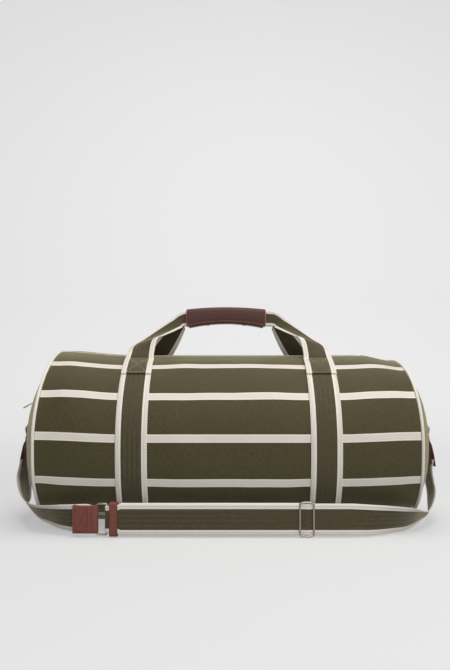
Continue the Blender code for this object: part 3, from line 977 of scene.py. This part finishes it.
def handle_edge(sewn_x, angles, points, rise):
    edge = [bag_point(sewn_x, a, HANDLE_OUT + PROUD) for a in angles]
    edge += [Vector((x, AXIS_Y + y, z)) for x, y, z in points]
    return [Vector((p.x, p.y, p.z + arch(p.x, rise))) for p in smooth_path(edge, 8)]


def to_right(point):
    in_grip = abs(point.x) < abs(GRIP_START) + 0.002
    return Vector((2 * GRIP_X - point.x if in_grip else -point.x, point.y, point.z))


for name, (side, angles, high, low) in HANDLES.items():
    left_half = list(zip(handle_edge(-BAND_X - WEBBING / 2, angles, high, ARCH_TOP * 0.7),
                         handle_edge(-BAND_X + WEBBING / 2, angles, low, ARCH_LOW)))
    rows = left_half + [(to_right(a), to_right(b)) for a, b in left_half][-2::-1]
    rows = [[to_side(p, side) for p in row] for row in rows]
    loop = strip(name + "_webbing_handle", rows, HANDLE_THICK, webbing_finish, None,
                 (name + "_handle",), edges=[(-WEBBING / 2, WEBBING / 2)] * len(rows))
    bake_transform(loop)

# %% [markdown]
# ## Box stitches
# A box with a cross is the strongest way to sew a strap down. Each handle end has one, 40 mm tall, inside
# the olive part of the webbing.

# %% Box and cross at each handle end
def sewn_point(x, angle, side):
    return to_side(bag_point(x, angle, HANDLE_OUT + HANDLE_THICK / 2 + GAP), side)


def box_lines(centre_x, side, half, low, high):
    """Seam lines of a box and cross, laid on the round of the bag."""
    corners = [(-half, low), (half, low), (half, high), (-half, high)]
    legs = [(corners[k], corners[(k + 1) % 4]) for k in range(4)]
    legs += [(corners[0], corners[2]), (corners[1], corners[3])]
    seams = []
    for (xa, aa), (xb, ab) in legs:
        line = [sewn_point(centre_x + xa + (xb - xa) * t, aa + (ab - aa) * t, side)
                for t in spread(0, 1, 10)]
        seams.append((line, [p - bag_axis(p) for p in line]))
    return seams


for side, name in ((1, "front"), (-1, "back")):
    seams = []
    for centre_x in (-BAND_X, BAND_X):
        seams += box_lines(centre_x, side, 0.0148, 50.2, 66.5 if side > 0 else 58.0)
    stitches(name + "_handle_box_stitches", seams, thread, "bag", thick=0.00045)

# %% [markdown]
# ## Grip
# The grip is a leather sleeve that holds both handles together. Its section is a round-topped arch, open
# underneath, where a flap with two press studs closes it. It is bowed, and thinnest in the middle. The raw
# cut edge of the leather is lighter than its face, so each lip carries a thin bead of edge leather.

# %% Leather grip sleeve
WALL = 0.0020
WAIST = 0.0008
HINGE_SHARE = 0.52
SLEEVE_DEPTH = (grip_high[1] - grip_low[1]) / 2


def sleeve_point(x, share, inset=0.0):
    """share runs from the front lip at 0, over the top, to the back lip at 1."""
    low = GRIP_BOTTOM + 0.0008 + arch(x, ARCH_LOW)
    top = grip_high[2] - 0.0010 + arch(x, ARCH_TOP) - inset
    hinge = low + (top - low) * HINGE_SHARE
    depth = SLEEVE_DEPTH - inset - WAIST * (1 - ((x - GRIP_X) / GRIP_HALF) ** 2)
    if share < 0.25 or share > 0.75:
        t = share / 0.25 if share < 0.25 else (1 - share) / 0.25
        pinch = 1 - 0.10 * (1 - t) ** 2
        return Vector((x, AXIS_Y + (-1 if share < 0.5 else 1) * depth * pinch, low + (hinge - low) * t))
    angle = pi * (share - 0.25) / 0.5
    power = 2 / 2.3
    return Vector((x, AXIS_Y - copysign(abs(cos(angle)) ** power, cos(angle)) * depth,
                   hinge + (top - hinge) * abs(sin(angle)) ** power))


grip_stations = spread(GRIP_X - GRIP_HALF, GRIP_X + GRIP_HALF, 49)
shares = spread(0, 1, 53)
sleeve = laid_grid("leather_grip", len(grip_stations), len(shares),
                   lambda i, j: sleeve_point(grip_stations[i], shares[j]),
                   lambda i, j: (grip_stations[i], shares[j] * 0.07))
turn_outward(sleeve, lambda p: Vector((p.x, AXIS_Y, GRIP_BOTTOM + 0.012)))
thicken(sleeve, WALL)
soften(sleeve, 0.0005)
finish_piece(sleeve, grip_leather, "grip", ("grip_wrap",), 45)

for share, name in ((0.0, "front"), (1.0, "back")):
    lip = [sleeve_point(x, share, WALL / 2) for x in grip_stations]
    tube(name + "_grip_lip", [Vector((p.x, p.y, p.z - 0.0002)) for p in lip], 0.0009, edge_leather, "grip",
         sides=8, cyclic=False)
for x, name in ((GRIP_X - GRIP_HALF, "left"), (GRIP_X + GRIP_HALF, "right")):
    rim = [sleeve_point(x, s, WALL / 2) for s in spread(0, 1, 45)]
    tube(name + "_grip_rim", rim, 0.0010, edge_leather, "grip", sides=8, cyclic=False)
seams = []
for share in (0.07, 0.93):
    line = [sleeve_point(x, share, -0.0002) for x in grip_stations[1:-1]]
    seams.append((line, [p - Vector((p.x, AXIS_Y, p.z)) for p in line]))
stitches("grip_seam_stitches", seams, dark_thread, "grip", thick=0.00035)

# %% Flap and press studs under the grip
flap_low, flap_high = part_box("grip_flap")
flap_z = (flap_low[2] + flap_high[2]) / 2
FLAP_THICK = 0.0018
rows = []
for x in spread(flap_low[0], flap_high[0], 40):
    z = flap_z + arch(x, ARCH_LOW)
    rows.append([Vector((x, flap_low[1], z)), Vector((x, flap_high[1], z))])
strip("grip_closing_flap", rows, FLAP_THICK, grip_leather, "grip_closure", ("grip_flap",), 8)


def turned(name, profile, centre, material, body, replaced=(), sides=24):
    """A turned part with its axis along Z: profile is a list of (radius, height)."""
    item = laid_grid(name, len(profile), sides + 1,
                     lambda i, j: centre + Vector((profile[i][0] * cos(2 * pi * j / sides),
                                                   profile[i][0] * sin(2 * pi * j / sides), profile[i][1])),
                     lambda i, j: (i * 0.001, j * 0.001))
    edit(item, weld, cap_ends, face_out)
    return finish_piece(item, material, body, replaced, 40)


STUD = [(0.0, -0.0011), (0.0020, -0.0011), (0.0034, -0.0008), (0.0041, -0.0001), (0.0042, 0.0005),
        (0.0036, 0.0009), (0.0, 0.0009)]
for name in ("left", "right"):
    low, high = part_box("grip_stud_" + name)
    middle = (Vector(low) + Vector(high)) / 2
    middle.z += arch(middle.x, ARCH_LOW)
    turned("press_stud_" + name, STUD, middle, nickel, "grip_closure", ("grip_stud_" + name,))
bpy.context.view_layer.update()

# %% [markdown]
# ## Zip slider and pull
# The slider is die-cast: a body with a flat nose at one end, a bridge over its top, and a pull that hangs
# from the bridge. It sits on the left end. The body starts as a cube, narrowed towards the tail and bevelled.

# %% Zip slider
track_up = Vector((0.2567, 0.0, 0.9665))  # the slope of the end dome under the slider
track_out = Vector((-track_up.z, 0.0, track_up.x))
wide = Vector((0, 1, 0))
car_low, car_high = [Vector(corner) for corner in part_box("zip_slider")]
slider_spot = (car_low + car_high) / 2 - track_out * 0.0017
slider_turn = turned_to(slider_spot, track_up, wide, track_out)

bpy.ops.object.select_all(action="DESELECT")
CAR_LONG = 0.012
CAR_WIDE = 0.0088
CAR_MID = 0.0014
bpy.ops.mesh.primitive_cube_add(size=1.0, location=(0, 0, CAR_MID), scale=(CAR_LONG, CAR_WIDE, 0.0022))
car = bpy.context.object
car.name = car.data.name = "zip_slider_body"
bpy.ops.object.transform_apply(location=True, rotation=True, scale=True)


def narrow_tail():
    bpy.ops.mesh.subdivide(number_cuts=5)
    shape = bmesh.from_edit_mesh(bpy.context.object.data)
    for vert in shape.verts:
        tail = max(0.0, 0.3 - vert.co.x / CAR_LONG) / 0.8
        vert.co.y *= 1 - 0.36 * min(1.0, tail)
        if vert.co.z > CAR_MID:
            vert.co.z += 0.0005 * cos(vert.co.y / (CAR_WIDE / 2) * pi / 2)
    bmesh.update_edit_mesh(bpy.context.object.data)


edit(car, narrow_tail)
soften(car, 0.0006, 40)
car.data.transform(slider_turn)
finish_piece(car, nickel, "slider", ("zip_slider",), 40)
BRIDGE = ((-0.0042, 0.0022), (-0.0038, 0.0046), (-0.0018, 0.0062),
          (0.0012, 0.0062), (0.0034, 0.0046), (0.0040, 0.0022))
bridge = [slider_turn @ Vector((x, 0, z)) for x, z in BRIDGE]
tube("zip_slider_bridge", smooth_path(bridge, 6), 0.0008, nickel, "slider", cyclic=False)

pivot = slider_spot + track_out * 0.0056
pull_way = Vector((-0.883, 0.0, -0.469))
# Half width of the pull at each distance from its pivot.
PULL = ((0.0, 0.0018), (0.0008, 0.0025), (0.0020, 0.0029), (0.0060, 0.0031), (0.0110, 0.0034),
        (0.0150, 0.0036), (0.0175, 0.0034), (0.0190, 0.0027), (0.0200, 0.0014))
rows = []
for along, half in PULL:
    rows.append([pivot + pull_way * along - wide * half, pivot + pull_way * along + wide * half])
strip("zip_pull_tab", rows, 0.0013, nickel, "pull", ("zip_pull",), 8)
rim = [pivot + pull_way * (0.0145 + 0.0034 * cos(a)) + wide * 0.0022 * sin(a)
       for a in [2 * pi * k / 24 for k in range(24)]]
tube("zip_pull_rim", rim, 0.0008, nickel, "pull", sides=8)

# %% [markdown]
# ## End tabs and rings
# On each end a short webbing tab is sewn down and folded round the straight side of a D-ring. The strap's
# leather end loops over the round side. The D is one wire, with its corners rounded as a bent wire has.

# %% Side tabs, D-rings and leather strap ends
ring_wire = (ring_high[0] - ring_low[0]) / 2
RING_X = (ring_low[0] + ring_high[0]) / 2
TAB_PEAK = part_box("right_zip_tail")[1][0]
RING_R = (ring_high[1] - ring_low[1]) / 2 - ring_wire
RING_Z = ring_high[2] - ring_wire
TAB_HALF = 0.0115
LEATHER = 0.0014
TAB_FOLD = ring_wire + GAP + LEATHER / 2
LEATHER_FOLD = 0.0033


def half_turn(x, z, radius, half, steps=13):
    """A fold round a wire at x and z, over it or, with a negative radius, under it."""
    return [(Vector((x - abs(radius) * cos(a), AXIS_Y, z + radius * sin(a))), half)
            for a in spread(0.0, pi, steps)]


def across_rows(spots, mirror):
    """Strip rows across Y from (middle, half width) pairs, mirrored for the left end."""
    return [[Vector((mirror * p.x, p.y - half, p.z)), Vector((mirror * p.x, p.y + half, p.z))]
            for p, half in spots]


def d_ring(mirror, ring_x):
    """Straight bar on top, half circle below, and a small bend at each corner."""
    wire = [(cos(a), -sin(a)) for a in spread(0.16, pi - 0.16, 33)]
    wire += [(-0.985, -0.08), (-0.955, -0.02)] + [(t, 0.0) for t in spread(-0.90, 0.90, 13)]
    wire += [(0.955, -0.02), (0.985, -0.08)]
    return [Vector((mirror * ring_x, AXIS_Y + y * RING_R, RING_Z + z * RING_R)) for y, z in wire]


# The leather's half width is the third value. X is from the ring's middle line, and the second value is Z.
INNER_LEG = ((0.0040, 0.0820, 0.0200), (0.0028, 0.0910, 0.0192), (0.0016, 0.1000, 0.0175),
             (0.0001, 0.1080, 0.0140), (-0.0012, 0.1160, 0.0100), (-0.0028, 0.1220, 0.0066))
OUTER_LEG = ((0.0036, 0.1220, 0.0066), (0.0056, 0.1160, 0.0100), (0.0065, 0.1080, 0.0140),
             (0.0072, 0.1000, 0.0175), (0.0082, 0.0910, 0.0192), (0.0092, 0.0820, 0.0200))
for mirror, name in ((-1, "left"), (1, "right")):
    inset = end_inset(mirror, 0)
    ring_x = RING_X - inset
    tab_in = ring_x - TAB_FOLD
    tab_out = ring_x + TAB_FOLD
    start = TAB_PEAK - inset
    legs = [(Vector((start + (tab_in - start) * t ** 0.8, AXIS_Y, 0.1640 - 0.021 * t)), TAB_HALF)
            for t in spread(0, 0.95, 8)]
    back = [(Vector((tab_out + (start + 0.0029 - tab_out) * t, AXIS_Y, RING_Z + 0.017 * t)), TAB_HALF)
            for t in spread(0.1, 1, 8)]
    tab = across_rows(legs + half_turn(ring_x, RING_Z, -TAB_FOLD, TAB_HALF) + back, mirror)
    strip(name + "_webbing_tab", tab, LEATHER, webbing_finish, "bag", (name + "_side_tab",), 8,
          edges=[(-WEBBING / 2, WEBBING / 2)] * len(tab))
    tube(name + "_d_ring", d_ring(mirror, ring_x), ring_wire, nickel, "bag", (name + "_ring",))

    legs = [smooth_path([Vector(p) for p in leg], 4) for leg in (INNER_LEG, OUTER_LEG)]
    spots = [(Vector((ring_x + p.x, AXIS_Y, p.y)), p.z) for p in legs[0]]
    spots += half_turn(ring_x, RING_Z - RING_R, LEATHER_FOLD, 0.0052)[1:-1]
    spots += [(Vector((ring_x + p.x, AXIS_Y, p.y)), p.z) for p in legs[1]]
    strip(name + "_leather_strap_end", across_rows(spots, mirror), LEATHER, patch_leather, "strap",
          (name + "_strap_leather",))
    seams = []
    for share in (-0.86, 0.86):
        line = [Vector((mirror * (ring_x + p.x + 0.0009), AXIS_Y + share * p.z, p.y)) for p in legs[1]]
        seams.append((line, [Vector((mirror, 0, 0))] * len(line)))
    line = [Vector((mirror * (ring_x + 0.0101), AXIS_Y + dy, 0.0835)) for dy in spread(-0.0175, 0.0175, 8)]
    seams.append((line, [Vector((mirror, 0, 0))] * len(line)))
    stitches(name + "_strap_end_stitches", seams, thread, "strap")

# %% [markdown]
# ## Shoulder strap
# The strap is 44 mm webbing. It drops from each leather end, turns on its edge as it reaches the floor, and
# stands in front of the bag. On the left it ends in a leather patch round a ring. On the right it is doubled
# back through that ring to a slider. Each curve is given by its upper and its lower edge.

# %% Strap webbing
STRAP_W = 0.044
STRAP_Y = (loop_low[1] + loop_high[1]) / 2
STRAP_Z = (loop_low[2] + loop_high[2]) / 2
PLY = 0.0027
FOLDED_HALF = 0.0190
LOOP_X = (loop_low[0] + loop_high[0]) / 2
LOOP_HALF = 0.008
# Upper and lower edge of each end of the strap, from the leather to where it stands straight.
STRAP_EDGES = {
    -1: (((-0.3306, -0.0148, 0.0930), (-0.3306, 0.0292, 0.0930)),
         ((-0.3335, -0.0160, 0.0820), (-0.3305, 0.0280, 0.0800)),
         ((-0.3362, -0.0190, 0.0680), (-0.3280, 0.0230, 0.0590)),
         ((-0.3325, -0.0280, 0.0564), (-0.3226, 0.0130, 0.0438)),
         ((-0.3232, -0.0450, 0.0455), (-0.3179, -0.0050, 0.0300)),
         ((-0.3032, -0.0850, 0.0411), (-0.3087, -0.0450, 0.0264)),
         ((-0.2800, -0.1190, 0.0407), (-0.2819, -0.0860, 0.0159)),
         ((-0.2561, -0.1290, 0.0415), (-0.2625, -0.1010, 0.0101)),
         ((-0.2375, -0.1350, 0.0432), (-0.2403, -0.1190, 0.0061)),
         ((-0.2150, -0.1405, 0.0448), (-0.2174, -0.1310, 0.0044)),
         ((-0.1980, -0.1430, 0.0456), (-0.1980, -0.1395, 0.0035))),
    1: (((0.3271, -0.0148, 0.0930), (0.3271, 0.0292, 0.0930)),
        ((0.3240, -0.0165, 0.0780), (0.3245, 0.0270, 0.0780)),
        ((0.3248, -0.0220, 0.0600), (0.3245, 0.0215, 0.0560)),
        ((0.3250, -0.0300, 0.0462), (0.3245, 0.0120, 0.0390)),
        ((0.3186, -0.0450, 0.0357), (0.3200, -0.0050, 0.0250)),
        ((0.3050, -0.0700, 0.0270), (0.3129, -0.0300, 0.0159)),
        ((0.2905, -0.0950, 0.0262), (0.3020, -0.0560, 0.0130)),
        ((0.2704, -0.1190, 0.0339), (0.2804, -0.0870, 0.0090)),
        ((0.2489, -0.1300, 0.0386), (0.2569, -0.1070, 0.0022)),
        ((0.2250, -0.1380, 0.0420), (0.2290, -0.1250, 0.0018)),
        ((0.2000, -0.1430, 0.0445), (0.2010, -0.1400, 0.0020))),
}


def strap_end_rows(mirror, last):
    """Rows of a strap end, closed by one row where it stands straight."""
    pairs = STRAP_EDGES[mirror]
    edges = [smooth_path([Vector(pair[k]) for pair in pairs] + [last[k]], 8) for k in (0, 1)]
    return [[low, high] for high, low in zip(*edges)]


def standing_rows(spots, half):
    """Rows of webbing or leather that stands on its edge, from its path seen from above."""
    return [[Vector((x, y, STRAP_Z - half)), Vector((x, y, STRAP_Z + half))] for x, y in spots]


def bar_fold(x, radius, turn, steps=13):
    """Path of a fold round a bar at x, to the right for turn 1 and to the left for turn -1."""
    return [(x + turn * radius * sin(a), STRAP_Y - radius * cos(a)) for a in spread(0, pi, steps)]


def straight(start, end, y, count):
    return [(x, y) for x in spread(start, end, count)]


def strap_piece(name, rows, node):
    return strip(name, rows, WEB_THICK, webbing_finish, "strap", (node,), 12,
                 edges=[(-STRAP_W / 2, STRAP_W / 2)] * len(rows))


front = STRAP_Y - PLY
back = STRAP_Y + PLY
low, high = standing_rows([(-0.1905, STRAP_Y)], FOLDED_HALF)[0]
strap_piece("left_strap_webbing", strap_end_rows(-1, (high, low)), "strap_left_webbing")
right_bar = LOOP_X + LOOP_HALF
low, high = standing_rows([(0.170, front)], STRAP_W / 2)[0]
rows = strap_end_rows(1, (high, low))
rows += standing_rows(straight(0.165, -0.150, front, 45), STRAP_W / 2)
rows += standing_rows(straight(-0.156, -0.166, front, 3), FOLDED_HALF)
rows += standing_rows(bar_fold(right_bar, PLY, -1), FOLDED_HALF)
rows += standing_rows(straight(-0.164, -0.156, back, 3), FOLDED_HALF)
rows += standing_rows(straight(-0.150, 0.104, back, 40), STRAP_W / 2)
strap_piece("right_strap_webbing", rows, "strap_right_webbing")

# %% [markdown]
# ## Patch, ring, keeper and slider
# The patch is a piece of leather, folded over the ring and sewn with a box and cross. The keeper is a narrow
# leather loop that holds the strap's two layers together. The slider is bent wire with a bar across its
# middle, and the webbing swells forward between its side bars.

# %% Patch and ring
left_bar = LOOP_X - LOOP_HALF
PATCH_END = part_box("strap_patch")[0][0]
PATCH_STRAIGHT = -0.1960
PATCH_THICK = 0.0016
spots = straight(PATCH_END, PATCH_STRAIGHT, front, 8) + bar_fold(left_bar, PLY, 1)
spots += straight(PATCH_STRAIGHT, PATCH_END, back, 8)
strip("leather_patch", standing_rows(spots, FOLDED_HALF + 0.0005), PATCH_THICK, patch_leather, "strap",
      ("strap_patch",))
face = front - PATCH_THICK / 2 - 0.0003


def on_face(x, z):
    return Vector((x, face, STRAP_Z + z))


def straight_seams(legs):
    seams = []
    for a, b in legs:
        line = [on_face(*a).lerp(on_face(*b), t) for t in spread(0, 1, 6)]
        seams.append((line, [Vector((0, -1, 0))] * 6))
    return seams


seam_left = PATCH_END + 0.0030
seam_right = PATCH_STRAIGHT
seam_half = 0.0165
last_seam = -0.1905
corners = [(seam_left, -seam_half), (seam_right, -seam_half), (seam_right, seam_half), (seam_left, seam_half)]
legs = [(corners[k], corners[(k + 1) % 4]) for k in range(4)]
legs += [(corners[0], corners[2]), (corners[1], corners[3])]
legs.append(((last_seam, -seam_half), (last_seam, seam_half)))
stitches("patch_box_stitches", straight_seams(legs), dark_thread, "strap", thick=0.00042)


def rounded_loop(half_x, half_z, corner, bow=0.0, steps=7):
    """Closed outline of a wire frame with round corners and, if bow is given, arched short sides."""
    points = []
    for k, (sx, sz) in enumerate(((1, 1), (-1, 1), (-1, -1), (1, -1))):
        for t in range(steps):
            a = radians(90 * k + 90 * t / (steps - 1))
            points.append((sx * (half_x - corner) + corner * cos(a),
                           sz * (half_z - corner) + corner * sin(a)))
        if k in (0, 2) and bow:
            for t in spread(-0.8, 0.8, 9) if k == 2 else spread(0.8, -0.8, 9):
                points.append((t * (half_x - corner), sz * (half_z + bow * (1 - t * t))))
    return points


WIRE = 0.0014
loop_tall = (loop_high[2] - loop_low[2]) / 2 - WIRE
loop_outline = rounded_loop(LOOP_HALF, loop_tall, 0.0034)
loop_wire = [Vector((LOOP_X + x, STRAP_Y, STRAP_Z + z)) for x, z in loop_outline]
tube("rectangular_ring", loop_wire, WIRE, nickel, "strap", ("strap_ring",))

# %% Keeper
KEEPER_THICK = 0.0016
keeper_mid_y = (keeper_low[1] + keeper_high[1]) / 2
keeper_y = (keeper_high[1] - keeper_low[1]) / 2 - KEEPER_THICK / 2
keeper_z = (keeper_high[2] - keeper_low[2]) / 2 - KEEPER_THICK / 2
rows = []
for y, z in rounded_loop(keeper_y, keeper_z, 0.0024):
    rows.append([Vector((x, keeper_mid_y + y, STRAP_Z + z)) for x in (keeper_low[0], keeper_high[0])])
rows.append([Vector(p) for p in rows[0]])
strip("leather_keeper", rows, KEEPER_THICK, patch_leather, "strap", ("strap_keeper",), 8)
for x, name in ((keeper_low[0] + 0.0011, "left"), (keeper_high[0] - 0.0011, "right")):
    line = [Vector((x, keeper_low[1] - 0.0002, STRAP_Z + z)) for z in spread(-0.021, 0.021, 10)]
    stitches(name + "_keeper_stitches", [(line, [Vector((0, -1, 0))] * 10)], dark_thread, "strap",
             thick=0.0003)

# %% Strap slider
SLIDER_X = (slider_low[0] + slider_high[0]) / 2
slider_tall = (slider_high[2] - slider_low[2]) / 2
slider_z = (slider_high[2] + slider_low[2]) / 2
wire_y = (slider_low[1] + slider_high[1]) / 2 - 0.0004
slider_half = (slider_high[0] - slider_low[0]) / 2 - WIRE
frame_loop = rounded_loop(slider_half, slider_tall - WIRE - 0.0010, 0.0032, 0.0008)
tube("wire_slider_frame", [Vector((SLIDER_X + x, wire_y, slider_z + z)) for x, z in frame_loop], WIRE, nickel,
     "strap_adjuster", ("strap_slider",))
bar_y = STRAP_Y + 0.0002
top_z = slider_tall - WIRE - 0.0002
bar = [(wire_y, -top_z), (bar_y - 0.002, -top_z + 0.0003), (bar_y, -top_z + 0.0022), (bar_y, 0.0),
       (bar_y, top_z - 0.0022), (bar_y - 0.002, top_z - 0.0003), (wire_y, top_z)]
tube("wire_slider_bar", smooth_path([Vector((SLIDER_X, y, slider_z + z)) for y, z in bar], 6), 0.0012, nickel,
     "strap_adjuster", ("strap_slider_bar",), cyclic=False)
SWELL_HALF = 0.0078
rows = standing_rows([(SLIDER_X + t * SWELL_HALF, front + 0.0004 - 0.0016 * cos(t * pi / 2))
                      for t in spread(-1, 1, 15)], STRAP_W / 2 - 0.0002)
strip("slider_webbing_swell", rows, WEB_THICK, webbing_finish, "strap_adjuster",
      edges=[(-STRAP_W / 2, STRAP_W / 2)] * len(rows))

# %% [markdown]
# ## Base board
# The board is already the right shape in the frame, so it stays and takes a moulded plastic finish.

# %% Finish on the kept board
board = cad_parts["base_board"]
board.data.materials.clear()
board.data.materials.append(board_plastic)
print("board", board.name)

# %% [markdown]
# ## Studio
# A pale sweep that glows a little keeps the surroundings even, with only a soft contact shadow. A large
# light hangs above, so that the top of the bag is bright and its lower half falls into shade. A wide one
# far in front fills that shade, and a small one at the right shapes the right end.

# %% Sweep and lights
BACKDROP = "e6e6e7"
FLOOR_GLOW = 0.46
WALL_GLOW = 0.70
SWEEP_FRONT = -4.0
SWEEP_BEND = 1.2
SWEEP_RADIUS = 0.6
WALL_TOP = 3.2


def stage_finish():
    """Matt paper, which glows more and more towards the wall, where the lamps don't reach."""
    material = bpy.data.materials.new("pale_paper_sweep")
    material.use_nodes = True
    tree = material.node_tree
    shader = tree.nodes["Principled BSDF"]
    coords = add_node(tree, "ShaderNodeTexCoord")
    grain = fine_noise(tree, coords, 400.0)
    tree.links.new(mix(tree, grain, hexa("b1b1b2"), hexa("b5b5b6")), shader.inputs["Base Color"])
    shader.inputs["Roughness"].default_value = 0.9
    shader.inputs["Emission Color"].default_value = hexa(BACKDROP)
    place = add_node(tree, "ShaderNodeSeparateXYZ", None, in0=coords.outputs["Object"])
    far = add_node(tree, "ShaderNodeMapRange", {"interpolation_type": "SMOOTHSTEP"}, in0=place.outputs[1],
                   in1=0.0, in2=SWEEP_BEND + 0.5, in3=FLOOR_GLOW, in4=WALL_GLOW)
    tree.links.new(far.outputs[0], shader.inputs["Emission Strength"])
    return material


profile = [(SWEEP_FRONT, 0.0)] + [(y, 0.0) for y in spread(-3.0, SWEEP_BEND, 12)]
profile += [(SWEEP_BEND + SWEEP_RADIUS * sin(a), SWEEP_RADIUS - SWEEP_RADIUS * cos(a))
            for a in spread(0.1, pi / 2, 16)]
profile.append((SWEEP_BEND + SWEEP_RADIUS, WALL_TOP))
sweep = laid_grid("paper_sweep", len(profile), 9,
                  lambda i, j: Vector((-4.0 + j, profile[i][0], profile[i][1] - 0.0006)),
                  lambda i, j: (profile[i][0], float(j)))
turn_outward(sweep, lambda p: Vector((p.x, p.y + 0.5, -1.0)))
sweep.data.materials.append(stage_finish())
select_only(sweep)
bpy.ops.object.shade_smooth()
sweep.visible_diffuse = False


def area_light(name, place, target, size, power, colour):
    """A square lamp in watts, turned to its target."""
    bpy.ops.object.light_add(type="AREA", location=place)
    lamp = bpy.context.object
    lamp.name = name
    lamp.data.size = size
    lamp.data.energy = power
    lamp.data.color = hexa(colour)[:3]
    lamp.rotation_euler = (Vector(target) - Vector(place)).to_track_quat("-Z", "Y").to_euler()
    return lamp


area_light("overhead_softbox", (0.15, -0.25, 1.9), (0, 0, 0.1), 1.4, 22.0, "fffdf8")
area_light("front_window", (0.5, -3.0, 1.2), (0, 0, 0.12), 2.2, 50.0, "ffffff")
area_light("right_key", (1.7, -1.3, 1.3), (0.1, 0, 0.15), 0.9, 9.0, "ffffff")
world = bpy.data.worlds.new("studio_air")
bpy.context.scene.world = world
world.use_nodes = True
air = world.node_tree.nodes["Background"]
air.inputs["Color"].default_value = hexa(BACKDROP)
air.inputs["Strength"].default_value = 0.16
bpy.context.scene.view_settings.view_transform = "Standard"
